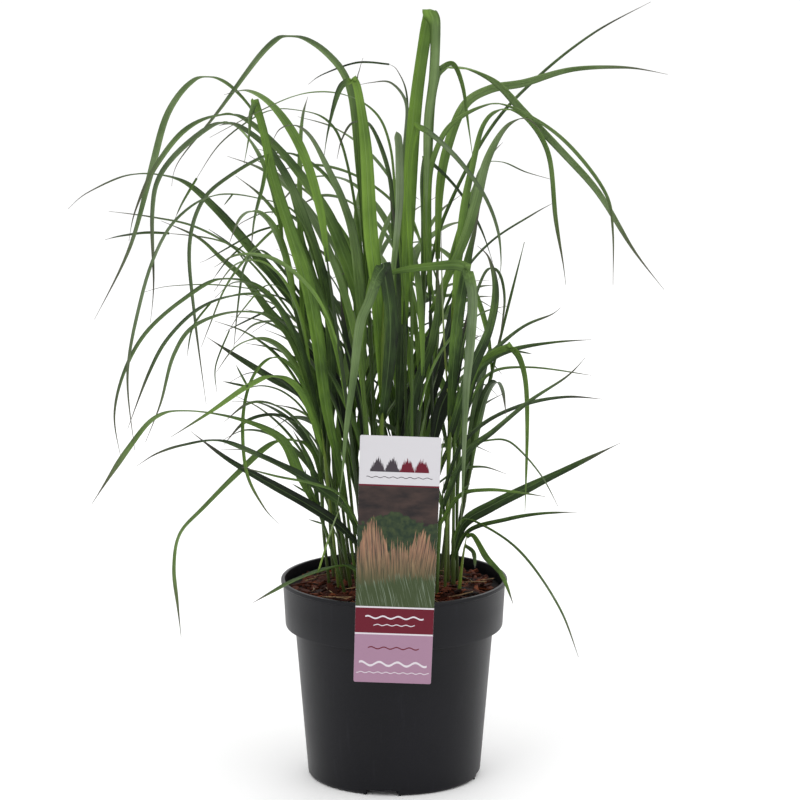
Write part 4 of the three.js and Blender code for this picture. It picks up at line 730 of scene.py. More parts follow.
def addBox(name, size, at, turn=0.0, bevel=0.0):
    deselectAll()
    bpy.ops.mesh.primitive_cube_add(size=1, location=[v * mm for v in at], rotation=(0, 0, turn))
    obj = justAdded(name)
    obj.scale = [v * mm for v in size]
    applyPlace(obj)
    if bevel:
        applyModifier(obj, "BEVEL", width=bevel * mm, segments=3, limit_method="NONE")
    return obj


def spun(a, b, turn):  # two coordinates turned about the third axis
    return a * math.cos(turn) - b * math.sin(turn), a * math.sin(turn) + b * math.cos(turn)


# ---- materials: these helpers work on the material begun last

making = {}


def beginMaterial(name):
    material = bpy.data.materials.new(name)
    material.use_nodes = True
    making["tree"] = material.node_tree
    return material, material.node_tree.nodes["Principled BSDF"].inputs


def feed(socket, value):  # a number, a colour, or what another node gives out
    if isinstance(value, bpy.types.NodeSocket):
        making["tree"].links.new(value, socket)
    elif socket.type == "RGBA":
        socket.default_value = (*value, 1)
    else:
        socket.default_value = value


def addNode(kind, *values, **settings):
    node = making["tree"].nodes.new("ShaderNode" + kind)
    for key, value in settings.items():
        if key in node.inputs:
            feed(node.inputs[key], value)
        else:
            setattr(node, key, value)
    for socket, value in zip(node.inputs, values):
        if value is not None:
            feed(socket, value)
    return node.outputs


def calc(operation, a, b=None, c=None, clamp=False):
    return addNode("Math", a, b, c, operation=operation, use_clamp=clamp)[0]


def blend(factor, a, b):
    node = making["tree"].nodes.new("ShaderNodeMix")
    node.data_type = "RGBA"
    for at, value in ((0, factor), (6, a), (7, b)):
        feed(node.inputs[at], value)
    return node.outputs[2]


def ramp(factor, stops, colours):
    node = making["tree"].nodes.new("ShaderNodeValToRGB")
    elements = node.color_ramp.elements
    while len(elements) < len(stops):
        elements.new(0.5)
    for element, at, colour in zip(elements, stops, colours):
        element.position = at
        element.color = (*colour, 1)
    feed(node.inputs[0], factor)
    return node.outputs[0]


def noise(vector, stretch=None, **settings):  # spots, or streaks where it is stretched
    if stretch:
        vector = addNode("Mapping", Vector=vector, Scale=stretch)[0]
    return addNode("TexNoise", Vector=vector, **settings)[0]


def relief(height, distance):
    return addNode("Bump", Height=height, Distance=distance, Strength=1.0)[0]


def objectSpots():
    return addNode("TexCoord")["Object"]


def attribute(name):
    return addNode("Attribute", attribute_name=name)["Fac"]


leafLook = {
    "green": ((0.004, 0.010, 0.002), (0.020, 0.046, 0.007), (0.080, 0.156, 0.018), (0.160, 0.285, 0.030),
              (0.29, 0.39, 0.050)),
    "grey": ((0.012, 0.018, 0.011), (0.046, 0.064, 0.040), (0.120, 0.152, 0.096), (0.205, 0.255, 0.165),
             (0.30, 0.35, 0.24)),
    "stops": (0.0, 0.22, 0.47, 0.76, 1.0), "patch": 0.5, "streaks": 0.34, "veins": 0.28, "paintedSideShade": 0.16,
    "patchScale": 30.0, "streakStretch": (7, 1.6, 1), "veinStretch": (34, 1.0, 1), "apart": 90.0,
    "bloomAndSheen": 0.8, "leastBloomAndSheen": 0.4, "rib": (0.17, 0.27, 0.09), "ribSharp": 18.0, "ribShare": 0.4,
    "tip": (0.092, 0.076, 0.068), "tipStart": 0.85, "tipSharp": 5.5, "tipShare": 0.9, "tipVeins": 0.10,
    "tipEdges": 0.06, "roughness": 0.46, "veinRoughness": 0.16, "specular": 0.22, "ribRelief": 0.6,
    "relief": 0.0004,
}


def makeLeafMaterial():
    material, surface = beginMaterial("grassLeaf")
    look = leafLook
    u, v, _ = addNode("SeparateXYZ", addNode("UVMap", uv_map="UVMap")[0])
    tone = attribute("tone")
    # every leaf has its own streaks
    own = addNode("CombineXYZ", u, v, calc("MULTIPLY", tone, look["apart"]))[0]
    streaks = noise(own, look["streakStretch"], Scale=1.0, Detail=2.0)
    veins = noise(own, look["veinStretch"], Scale=1.0, Detail=2.0)
    patch = noise(objectSpots(), Scale=look["patchScale"], Detail=3.0)
    shade = tone
    # patches, streaks and veins vary the tone, and one half of the width is darker: painted side shade
    for pattern, name in ((patch, "patch"), (streaks, "streaks"), (veins, "veins"), (u, "paintedSideShade")):
        shade = calc("ADD", shade, calc("MULTIPLY_ADD", pattern, look[name], -look[name] / 2))
    green, grey = ramp(shade, look["stops"], look["green"]), ramp(shade, look["stops"], look["grey"])
    # the grey mix is partly a waxy bloom, partly a painted sheen
    patchy = calc("MULTIPLY_ADD", patch, look["bloomAndSheen"], look["leastBloomAndSheen"])
    bloomAndSheen = calc("MULTIPLY", attribute("bloomAndSheen"), patchy)
    colour = blend(calc("MULTIPLY", bloomAndSheen, 1.0, clamp=True), green, grey)
    offMiddle = calc("ABSOLUTE", calc("SUBTRACT", u, 0.5))
    rib = calc("SUBTRACT", 1.0, calc("MULTIPLY", offMiddle, look["ribSharp"]), clamp=True)
    colour = blend(calc("MULTIPLY", rib, look["ribShare"]), colour, look["rib"])
    # the tip turns grey-brown, its edges and some veins a little sooner than the rest
    late = calc("MULTIPLY_ADD", veins, look["tipVeins"], calc("MULTIPLY_ADD", offMiddle, look["tipEdges"], v))
    tip = calc("MULTIPLY", calc("SUBTRACT", late, look["tipStart"]), look["tipSharp"], clamp=True)
    feed(surface["Base Color"], blend(calc("MULTIPLY", tip, look["tipShare"]), colour, look["tip"]))
    smoothest = look["roughness"] - look["veinRoughness"] / 2
    feed(surface["Roughness"], calc("MULTIPLY_ADD", veins, look["veinRoughness"], smoothest))
    surface["Specular IOR Level"].default_value = look["specular"]
    height = calc("ADD", veins, calc("MULTIPLY", rib, look["ribRelief"]))
    feed(surface["Normal"], relief(height, look["relief"]))
    return material


stemLook = {
    "colours": ((0.012, 0.024, 0.006), (0.052, 0.100, 0.012), (0.20, 0.26, 0.032)), "stops": (0.0, 0.5, 1.0),
    "streaks": 0.5, "stretch": (14, 3, 1), "foot": (0.034, 0.027, 0.011), "footFade": (-2.4, 1.05),
    "footShare": 0.8, "roughness": 0.42, "specular": 0.25, "relief": 0.0003,
}


def makeStemMaterial():
    material, surface = beginMaterial("grassStem")
    look = stemLook
    uv = addNode("UVMap", uv_map="UVMap")[0]
    v = addNode("SeparateXYZ", uv)[1]
    streaks = noise(uv, look["stretch"], Scale=1.5, Detail=3.0)
    tone = calc("SUBTRACT", attribute("tone"), look["streaks"] / 2)
    colour = ramp(calc("MULTIPLY_ADD", streaks, look["streaks"], tone), look["stops"], look["colours"])
    low = calc("MULTIPLY_ADD", v, *look["footFade"], clamp=True)
    feed(surface["Base Color"], blend(calc("MULTIPLY", low, look["footShare"]), colour, look["foot"]))
    surface["Roughness"].default_value = look["roughness"]
    surface["Specular IOR Level"].default_value = look["specular"]
    feed(surface["Normal"], relief(streaks, look["relief"]))
    return material


potLook = {
    "colour": (0.0026, 0.0027, 0.0046), "worn": (0.012, 0.0120, 0.0172), "roughness": 0.40, "uneven": 0.2,
    "grainScale": 900.0, "cloudScale": 16.0, "scuffScale": 220.0, "scuffStretch": (1, 1, 0.08),
    "dust": (0.42, 1.2), "scuffs": (0.6, 1.6), "dustShare": 0.5, "specular": 0.2, "relief": 0.0001,
}


def makePotMaterial():
    material, surface = beginMaterial("potPlastic")
    look = potLook
    spots = objectSpots()
    grain = noise(spots, Scale=look["grainScale"], Detail=3.0)
    cloud = noise(spots, Scale=look["cloudScale"], Detail=4.0)
    scuff = noise(spots, look["scuffStretch"], Scale=look["scuffScale"], Detail=2.0)
    dust, scuffs = (calc("MULTIPLY", calc("SUBTRACT", pattern, least), sharp, clamp=True)
                    for pattern, (least, sharp) in ((cloud, look["dust"]), (scuff, look["scuffs"])))
    worn = calc("MULTIPLY_ADD", dust, look["dustShare"], scuffs, clamp=True)
    feed(surface["Base Color"], blend(worn, look["colour"], look["worn"]))
    smoothest = look["roughness"] - look["uneven"] / 2
    feed(surface["Roughness"], calc("MULTIPLY_ADD", cloud, look["uneven"], smoothest))
    surface["Specular IOR Level"].default_value = look["specular"]
    feed(surface["Normal"], relief(grain, look["relief"]))
    return material


barkLook = {
    "bark": ((0.004, 0.0012, 0.0006), (0.068, 0.014, 0.005), (0.23, 0.062, 0.022)),
    "compost": ((0.006, 0.004, 0.003), (0.022, 0.013, 0.009), (0.06, 0.04, 0.028)),
    "straw": ((0.10, 0.05, 0.02), (0.32, 0.22, 0.10)),
    "fibreScale": 420.0, "patchScale": 110.0, "patch": 0.9, "pitsAndShade": 3.5, "roughness": 0.8, "specular": 0.15,
    "relief": 0.0008, "strawScale": 260.0, "strawRoughness": 0.7,
}


def makeBarkMaterial(name, colours):
    material, surface = beginMaterial(name)
    look = barkLook
    spots = objectSpots()
    fibre = noise(spots, Scale=look["fibreScale"], Detail=5.0, Roughness=0.65)
    patch = noise(spots, Scale=look["patchScale"], Detail=3.0)
    tone = calc("SUBTRACT", attribute("tone"), look["patch"] / 2)
    colour = ramp(calc("MULTIPLY_ADD", patch, look["patch"], tone), (0.0, 0.5, 1.0), colours)
    # darker in the fibre hollows: partly the bark's dark grain, partly painted shade in the hollows
    pitsAndShade = calc("MULTIPLY", calc("SUBTRACT", 0.5, fibre), look["pitsAndShade"], clamp=True)
    feed(surface["Base Color"], blend(pitsAndShade, colour, colours[0]))
    surface["Roughness"].default_value = look["roughness"]
    surface["Specular IOR Level"].default_value = look["specular"]
    feed(surface["Normal"], relief(fibre, look["relief"]))
    return material


def makeStrawMaterial():
    material, surface = beginMaterial("straw")
    streak = noise(objectSpots(), Scale=barkLook["strawScale"], Detail=3.0)
    feed(surface["Base Color"], ramp(streak, (0.3, 0.7), barkLook["straw"]))
    surface["Roughness"].default_value = barkLook["strawRoughness"]
    return material


grassLeaf = makeLeafMaterial()
grassStem = makeStemMaterial()
potPlastic = makePotMaterial()
barkChip = makeBarkMaterial("barkChip", barkLook["bark"])
compostCrumb = makeBarkMaterial("compostCrumb", barkLook["compost"])
strawFibre = makeStrawMaterial()
print("materials made")


# ---- the pot: drawn up as one wall from the foot to the rim and down inside

potShape = {"sides": 128, "footSteps": 5, "edge": 0.5, "smooth": 40, "notchRound": 0.8, "holeSides": 24}


def potProfile():
    p = pot
    collarZ = p["height"] - p["collarDepth"]
    beadZ = p["height"] - p["bead"]
    profile = []
    for i in range(potShape["footSteps"] + 1):
        turn = math.pi / 2 * i / potShape["footSteps"]
        r = p["bodyFoot"] - p["footRound"] + p["footRound"] * math.sin(turn)
        profile.append((r, p["footRound"] * (1 - math.cos(turn))))
    bodyGrow = (p["bodyTop"] - p["bodyFoot"]) / (collarZ - p["footRound"])
    for z in (40, 80, collarZ - 3):
        profile.append((p["bodyFoot"] + bodyGrow * (z - p["footRound"]), z))
    # up the outside: the step out to the collar, the collar, the bead and the rim
    profile += [
        (p["bodyTop"], collarZ - 0.6), (p["bodyTop"] + 1.2, collarZ), (p["collarFoot"] - 1.6, collarZ),
        (p["collarFoot"] - 0.5, collarZ + 0.4), (p["collarFoot"], collarZ + 1.6),
        (p["collarFoot"] + 1, collarZ + 20), (p["collarTop"], beadZ - 0.7), (p["collarTop"] + 0.2, beadZ),
        (p["rim"] - potShape["edge"], beadZ + 0.2), (p["rim"], beadZ + 0.2 + potShape["edge"]),
        (p["rim"], p["height"] - 1.1), (p["rim"] - 0.4, p["height"] - 0.3), (p["rim"] - 1.1, p["height"]),
    ]
    # down the inside to the middle of the floor
    return profile + [
        (p["collarTop"] - p["wall"] + 0.5, p["height"]), (p["collarTop"] - p["wall"], p["height"] - 0.5),
        (p["collarFoot"] - p["wall"], collarZ + 3), (p["bodyTop"] - p["wall"], collarZ + 1),
        (p["bodyFoot"] - p["wall"] + 0.3, p["floor"] + 4), (p["bodyFoot"] - p["wall"] - 3, p["floor"]),
        (20, p["floor"]), (0.02, p["floor"]),
    ]


def drainPlaces(r):  # how each drain is turned, and where it is at a distance from the middle
    for i in range(drain["count"]):
        turn = math.radians(drain["turn"] + 360 / drain["count"] * i)
        yield turn, r * math.sin(turn), r * -math.cos(turn)


def makePot():
    shell = turnUp("pot_shell", potProfile(), potShape["sides"], potShape["smooth"])
    middle = pot["bodyFoot"] - drain["depth"] / 2
    size = (drain["width"] + 2 * pot["floor"], drain["depth"], drain["height"] + pot["floor"])
    for turn, x, y in drainPlaces(middle - pot["floor"]):
        cut(shell, addBox("pocket", size, (x, y, size[2] / 2 + 0.01), turn), "UNION")
    size = (drain["width"], 2 * drain["depth"], 2 * drain["height"])
    for (turn, x, y), (_, holeX, holeY) in zip(drainPlaces(pot["bodyFoot"]), drainPlaces(middle - 1)):
        cut(shell, addBox("notch", size, (x, y, 0), turn, potShape["notchRound"]), "DIFFERENCE")
        deselectAll()
        at = (holeX * mm, holeY * mm, drain["height"] * mm)
        bpy.ops.mesh.primitive_cylinder_add(vertices=potShape["holeSides"], radius=drain["holeRadius"] * mm,
                                            depth=0.02, location=at)
        hole = justAdded("hole")
        applyPlace(hole)
        cut(shell, hole, "DIFFERENCE")
    activate(shell)
    bpy.ops.object.shade_smooth_by_angle(angle=math.radians(potShape["smooth"]))
    finish(shell, potPlastic)
    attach(shell, "root")
    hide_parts("pot")


makePot()
finish(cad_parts["compost"], compostCrumb)
print("pot made")


# ---- bark: an uneven bed with loose chips and a few straws on it

barkShape = {
    "seed": 5, "sides": 64, "bedSteps": 15, "bedDrop": 1.2, "uneven": 1.6, "gapShadeTone": 0.0, "edgeGap": 0.4,
    "chips": 560, "small": 420, "smallSize": 0.5, "smallThick": 0.8, "masters": 4, "length": (10, 28),
    "width": (4, 10), "thick": (1.2, 2.8), "tilt": 0.2, "roll": 0.25, "sink": 0.6, "heap": 1.9,
    "tone": (0.4, 0.25), "straws": 30, "strawLength": (12, 34), "strawRadius": 0.45, "strawSides": 5,
    "strawBow": 0.2, "strawLift": (2.6, 4.4), "strawTilt": 0.12,
}


def makeChipMasters(draw):
    masters = []
    for i in range(barkShape["masters"]):
        deselectAll()
        bpy.ops.mesh.primitive_cube_add(size=1, location=(0, 0, 0))
        chip = justAdded("chipMaster")
        bpy.ops.object.mode_set(mode="EDIT")
        bpy.ops.mesh.select_all(action="SELECT")
        bpy.ops.mesh.subdivide(number_cuts=1)
        bpy.ops.object.mode_set(mode="OBJECT")
        coords = coordsOf(chip)
        for c in coords:  # narrower at the ends, and torn
            taper = 1 - 0.45 * abs(c[0]) * 2
            c[1] *= taper * draw.uniform(0.7, 1.15)
            c[2] *= draw.uniform(0.55, 1.1)
            c[0] *= draw.uniform(0.85, 1.0)
            c[2] += draw.uniform(-0.16, 0.16)
        setCoords(chip, coords)
        masters.append(chip)
    return masters


def scatter(obj, x, y, z, r, turn):
    setCoords(obj, np.column_stack([x + r * math.cos(turn), y + r * math.sin(turn), z]) * mm)


def scatterStraws(draw, edge):
    b = barkShape
    master = addRod("strawMaster", b["strawSides"], 5)
    straws = []
    for i in range(b["straws"]):
        straw = copyOf(master, "straw")
        length = draw.uniform(*b["strawLength"])
        r = (edge - length / 2 - 3) * math.sqrt(draw.random())
        turn, spin = draw.uniform(0, 2 * math.pi), draw.uniform(0, 2 * math.pi)
        bow, lift = draw.uniform(-b["strawBow"], b["strawBow"]), draw.uniform(*b["strawLift"])
        tilt = draw.gauss(0, b["strawTilt"])
        base = coordsOf(straw)
        run = base[:, 2] * length
        y = base[:, 0] * b["strawRadius"] + bow * length * (0.25 - base[:, 2] ** 2)
        z = base[:, 1] * b["strawRadius"] + lift + barkHeight(r) + tilt * run
        scatter(straw, *spun(run, y, spin), z, r, turn)
        straws.append(straw)
    discard(master)
    scattered = joinInto(straws, "straws")
    bpy.ops.object.shade_smooth()
    finish(scattered, strawFibre)
    return scattered


def makeBed(draw, edge):
    b = barkShape
    low = soil["compostTop"] + 0.4
    profile = [(edge, low), (edge, barkHeight(edge) - b["bedDrop"])]
    for i in range(1, b["bedSteps"]):
        r = edge * (1 - i / b["bedSteps"])
        profile.append((r, barkHeight(r) - b["bedDrop"]))
    profile.append((0.02, barkHeight(0) - b["bedDrop"]))
    bed = turnUp("bark_bed", profile, b["sides"], 180)
    coords = coordsOf(bed)
    for c in coords:
        r = math.hypot(c[0], c[1]) / mm
        if c[2] > (low + 2) * mm and r < edge - 1:
            c[2] += draw.uniform(-1, 1) * b["uneven"] * mm
    setCoords(bed, coords)
    # the bed shows only between the chips; its darkest tone there is painted shade in the gaps
    setTones(bed, "tone", b["gapShadeTone"])
    return bed


def makeBark():
    b = barkShape
    draw = random.Random(b["seed"])
    edge = pot["collarFoot"] - pot["wall"] - b["edgeGap"]
    chips = [makeBed(draw, edge)]
    masters = makeChipMasters(draw)
    for i in range(b["chips"] + b["small"]):
        small = i >= b["chips"]
        shrink = b["smallSize"] if small else 1.0
        length = draw.uniform(*b["length"]) * shrink
        width = draw.uniform(*b["width"]) * shrink
        thick = draw.uniform(*b["thick"]) * (b["smallThick"] if small else 1.0)
        r = (edge - length / 2 - 1) * math.sqrt(draw.random())
        turn, spin = draw.uniform(0, 2 * math.pi), draw.uniform(0, 2 * math.pi)
        tilt, roll = draw.gauss(0, b["tilt"]), draw.gauss(0, b["roll"])
        chip = copyOf(draw.choice(masters), "chip")
        x, y, z = (coordsOf(chip) * np.array((length, width, thick))).T
        y, z = spun(y, z, roll)
        x, z = spun(x, z, -tilt)
        x, y = spun(x, y, spin)
        scatter(chip, x, y, z + barkHeight(r) - b["sink"] + draw.uniform(0, b["heap"]), r, turn)
        setTones(chip, "tone", min(max(draw.gauss(*b["tone"]), 0.0), 1))
        chips.append(chip)
    discard(*masters)
    chipBed = joinInto(chips, "chipBed")
    finish(chipBed, barkChip)
    bark = joinInto([chipBed, scatterStraws(draw, edge)], "bark_chips")
    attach(bark, "root")
    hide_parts("bark_mulch")


makeBark()
print("bark made")


# ---- grass: one leaf and one stem are modelled, then each copy is laid along its own course

leafShape = {
    "seed": 23, "columns": 4, "rows": 64, "thinColumns": 2, "thinRows": 24, "thick": 0.3, "gutter": 0.22,
    "gutterPower": 1.4, "gutterSink": 0.45, "easedRun": 2, "easedWidth": 7, "tip": 0.22, "taper": 0.14,
    "bluntRun": 4, "narrowing": 0.7, "wave": 0.3, "waves": 21, "waveWidth": 4, "twist": 14, "twists": (3, 8),
    "arch": 62, "archReach": 0.42, "archEnds": (12, 0.4, -0.2), "turning": 60, "blunt": 2.0, "usual": 8,
    "sharpTurn": 38, "fold": 2.0, "foldSteps": 8, "foldArc": (0.35, 2.8), "foldFade": 40, "turnOver": 10,
    "underOver": 12, "swell": 1.6, "swellReach": 18, "bluntEnd": 0.78, "creasedEnd": 0.84,
    "paintedLowShade": 0.15, "lowTop": 470, "lowDepth": 200, "lowFade": (1.5, 1.6), "grown": (0.1, 0.5, 0.2),
}
stemShape = {
    "sides": 8, "rings": 48, "smooth": 50, "sheath": 0.35, "sheathLength": 60, "knot": 0.35, "knotLength": 3,
    "point": 45, "pointRadius": 0.3, "slimmer": 0.5, "most": 0.3,
}
thinShape = {"samples": 40, "width": (1.3, 2.4), "taper": (0.8, 1, 0.7), "deep": 25, "perStem": 2,
             "start": (0.35, 0.95), "turn": 110, "length": (110, 250), "steep": (4, 20), "droop": (70, 150),
             "sweep": 40, "tone": (0.2, 0.56), "bloomAndSheen": (0.4, 1)}
# a leaf's tone where none is given below, and a stem's: the middle and the spread, then the limits
toneShape = {"leaf": (0.48, 0.13), "limits": (0.04, 0.56), "bloomAndSheen": (0.1, 0.75), "stem": (0.36, 0.24),
             "stemLimits": (0.05, 1), "rest": (0.16, 240, 640, 0.24)}
# how bright a leaf is, from 0, nearly black, to 1, yellow-green: stem number, leaf number; the darkest, on
# leaves deep in the clump, are painted shade
leafTones = {
    (1, 0): 0.44, (2, 0): 0.51, (3, 0): 0.46, (3, 1): 0.42, (3, 2): 0.54, (3, 3): 0.08, (4, 0): 0.38,
    (5, 0): 0.35, (6, 0): 0.54, (6, 1): 0.42, (7, 0): 0.61, (7, 1): 0.30, (7, 2): 0.58, (7, 3): 0.24,
    (7, 4): 0.50, (7, 5): 0.44, (7, 6): 0.52, (8, 0): 0.34, (8, 1): 0.54, (8, 3): 0.26, (8, 4): 0.04,
    (9, 0): 0.54, (9, 1): 0.52, (10, 0): 0.60, (10, 1): 0.54, (10, 2): 0.50, (10, 3): 0.06, (11, 0): 0.52,
    (11, 1): 0.54, (11, 2): 0.04, (12, 0): 0.54, (13, 0): 0.58, (14, 1): 0.40, (14, 2): 0.30, (15, 0): 0.56,
    (15, 1): 0.40, (16, 0): 0.34, (16, 1): 0.30, (16, 2): 0.40, (17, 0): 0.36, (17, 1): 0.60, (17, 2): 0.60,
    (18, 0): 0.36, (18, 1): 0.28, (19, 0): 0.31, (19, 1): 0.36, (20, 0): 0.50, (20, 1): 0.56, (21, 0): 0.60,
    (22, 0): 0.46, (22, 3): 0.60, (23, 0): 0.36, (23, 1): 0.14, (23, 3): 0.46, (24, 1): 0.70, (25, 5): 0.06,
}
# how grey a leaf is, from 0, plain green, to 1, grey: partly a waxy bloom, partly painted sheen
leafBloomsAndSheen = {
    (1, 0): 0.65, (2, 0): 0.65, (3, 0): 0.5, (3, 1): 0.8, (3, 2): 0.7, (4, 0): 0.75, (4, 1): 0.9,
    (5, 0): 0.4, (6, 0): 0.1, (6, 1): 0.3, (7, 0): 0.1, (7, 1): 0.4, (7, 2): 1.0, (7, 3): 0.15,
    (7, 4): 0.55, (7, 5): 0.6, (7, 6): 0.85, (8, 0): 0.5, (8, 1): 1.0, (9, 0): 0.1, (9, 1): 0.55,
    (10, 0): 0.7, (10, 1): 0.5, (10, 2): 0.3, (11, 0): 0.5, (11, 1): 0.65, (12, 0): 0.4, (13, 0): 0.6,
    (14, 1): 0.7, (14, 2): 0.5, (15, 0): 0.0, (15, 1): 0.8, (16, 0): 0.15, (16, 1): 0.2, (16, 2): 0.7,
}
# thin leaves and tips between the broad ones: how bright each is, and its course on the same sheet, u and v
# by turns; each starts on the leaf or stem nearest to its first mark
thinCourses = [
    (0.3, (-190, 478, -209, 477, -231, 474, -243, 471)),
    (0.3, (-126, 455, -134, 464, -144, 472, -156, 480)),
    (0.3, (-94, 484, -115, 478, -135, 467, -156, 455, -163, 452)), (0.3, (-125, 470, -140, 454, -152, 438)),
    (0.3, (-100, 412, -128, 401, -142, 394)), (0.4, (-155, 415, -169, 398, -174, 373)),
    (0.4, (-140, 392, -150, 365, -149, 343)), (0.15, (-5, 615, -31, 620, -60, 610, -72, 601.6)),
    (0.4, (-165, 520, -178, 502, -184, 489)), (0.4, (-137, 512, -143, 500)), (0.4, (-124, 347, -133, 366)),
    (0.3, (-124, 347, -144, 352)), (0.4, (70, 300, 92, 303, 107, 293, 125, 271, 138, 246.5)),
    (0.3, (100, 378, 116, 375)), (0.4, (55, 272, 64, 285)), (0.4, (55, 262, 64, 266)),
    (0.4, (-73, 262, -75, 279)), (0.4, (-70, 254, -86, 266)), (0.4, (-59, 232, -72, 236)),
    (0.95, (46, 343, 42, 388, 40, 450, 40, 478)), (0.85, (38.6, 263, 42, 308)), (0.85, (42, 280, 55, 319)),
    (0.8, (-65, 199, -52, 229, -43, 251)), (0.2, (-48, 227, -35, 195)),
]


def makeLeafMaster(columns, rows):
    deselectAll()
    bpy.ops.mesh.primitive_grid_add(x_subdivisions=columns, y_subdivisions=rows, size=1)
    leaf = justAdded("leafMaster")
    coords = coordsOf(leaf)
    offMiddle = np.abs(coords[:, 0]) * 2
    coords[:, 2] = (offMiddle ** leafShape["gutterPower"] - leafShape["gutterSink"]) * leafShape["gutter"]
    setCoords(leaf, coords)
    bpy.ops.object.shade_smooth()
    return leaf


def makeStemMaster():
    stem = addRod("stemMaster", stemShape["sides"], stemShape["rings"] - 1)
    bpy.ops.object.shade_smooth_by_angle(angle=math.radians(stemShape["smooth"]))
    coords = coordsOf(stem)
    uv = stem.data.uv_layers[0].data
    for loop in stem.data.loops:
        c = coords[loop.vertex_index]
        uv[loop.index].uv = (math.atan2(c[1], c[0]) / (2 * math.pi) + 0.5, c[2] + 0.5)
    return stem


def eased(values, reach):  # rounds the corners of a run of numbers
    window = np.hanning(2 * reach + 3)[1:-1]
    padded = np.concatenate([np.full(reach, values[0]), values, np.full(reach, values[-1])])
    return np.convolve(padded, window / window.sum(), "valid")


def rowsOf(values, at, spots):
    return np.column_stack([np.interp(spots, at, values[:, k]) for k in range(values.shape[1])])


def lengthsOf(rows):
    return np.linalg.norm(rows, axis=1)


def runOf(lengths):
    return np.concatenate([[0], np.cumsum(lengths)])


def bladeOf(leaf):  # a leaf's closely spaced points, the way its width runs at each, and the width there
    points, level = leaf["fine"], leaf["level"]
    ways = widthWays(points, toEye if level is None else lambda point, tangent: level, leaf["roll"])
    sizes = np.interp(np.linspace(0, 1, len(points)), np.linspace(0, 1, len(leaf["widths"])), leaf["widths"])
    return {"points": points, "ways": np.array(ways), "sizes": sizes, "under": np.zeros(len(points)),
            "pointed": leaf["widths"][-1] < leafShape["blunt"], "creased": False}


def foldOver(first, second, share):  # where a leaf is creased, the rest hangs in front of what came before
    look = leafShape
    last = round(share * (len(first["points"]) - 1))
    points, ways = first["points"][:last + 1], first["ways"][:last + 1]
    crease, width = points[-1], first["sizes"][last]
    stiff = min(width / look["usual"], 1)
    before, after = unit(crease - points[-5]), unit(second["points"][5] - second["points"][0])
    nextWays = second["ways"] * (1 if ways[-1].dot(second["ways"][4]) > 0 else -1)
    hanging = second["points"].copy()
    arc, arcWays = np.zeros((0, 3)), np.zeros((0, 3))
    creased = bool(before.dot(after) < math.cos(math.radians(look["sharpTurn"])))
    if creased:
        towards, r = unit(eye - crease), look["fold"] * stiff
        turns = np.linspace(*look["foldArc"], look["foldSteps"])[:, None]
        arc = crease + before * r * np.sin(turns) + towards * r * (1 - np.cos(turns))
        arcWays = np.tile(ways[-1], (look["foldSteps"], 1))
        run = lengthsOf(hanging - hanging[0])[:, None]
        hanging = hanging + towards * 2 * r * np.exp(-run / look["foldFade"])
    share = np.clip(np.arange(len(nextWays)) / look["turnOver"], 0, 1)[:, None]
    turned = ways[-1] * (1 - share) + nextWays * share
    joined = np.vstack([points, arc, hanging[1:]])
    sizes = np.concatenate([first["sizes"][:last + 1], np.full(len(arc), width), second["sizes"][1:]])
    if creased:
        away = lengthsOf(joined - crease) / look["swellReach"]
        sizes = sizes + look["swell"] * stiff * np.exp(-(away ** 2))
    under = np.clip(np.arange(len(hanging) - 1) / look["underOver"], 0, 1)
    return {"points": joined, "ways": np.vstack([ways, arcWays, turned[1:]]), "sizes": sizes,
            "under": np.concatenate([np.zeros(last + 1 + len(arc)), under]),
            "pointed": second["pointed"], "creased": creased}


def bladesOf(plant):  # a plant's whole leaves, each with the number of its lower part
    blades = {}
    for number, leaf in enumerate(plant["leaves"]):
        if leaf is None:
            continue
        blade = bladeOf(leaf)
        if leaf["on"] is not None and leaf["share"] > 0.9:
            blades[leaf["on"]] = foldOver(blades[leaf["on"]], blade, leaf["share"])
            blades[leaf["on"]]["hangs"] = number
        else:
            blades[number] = blade
    for blade in blades.values():
        blade["arches"] = plant["owner"] < len(handStems) and not blade["creased"]
    return blades


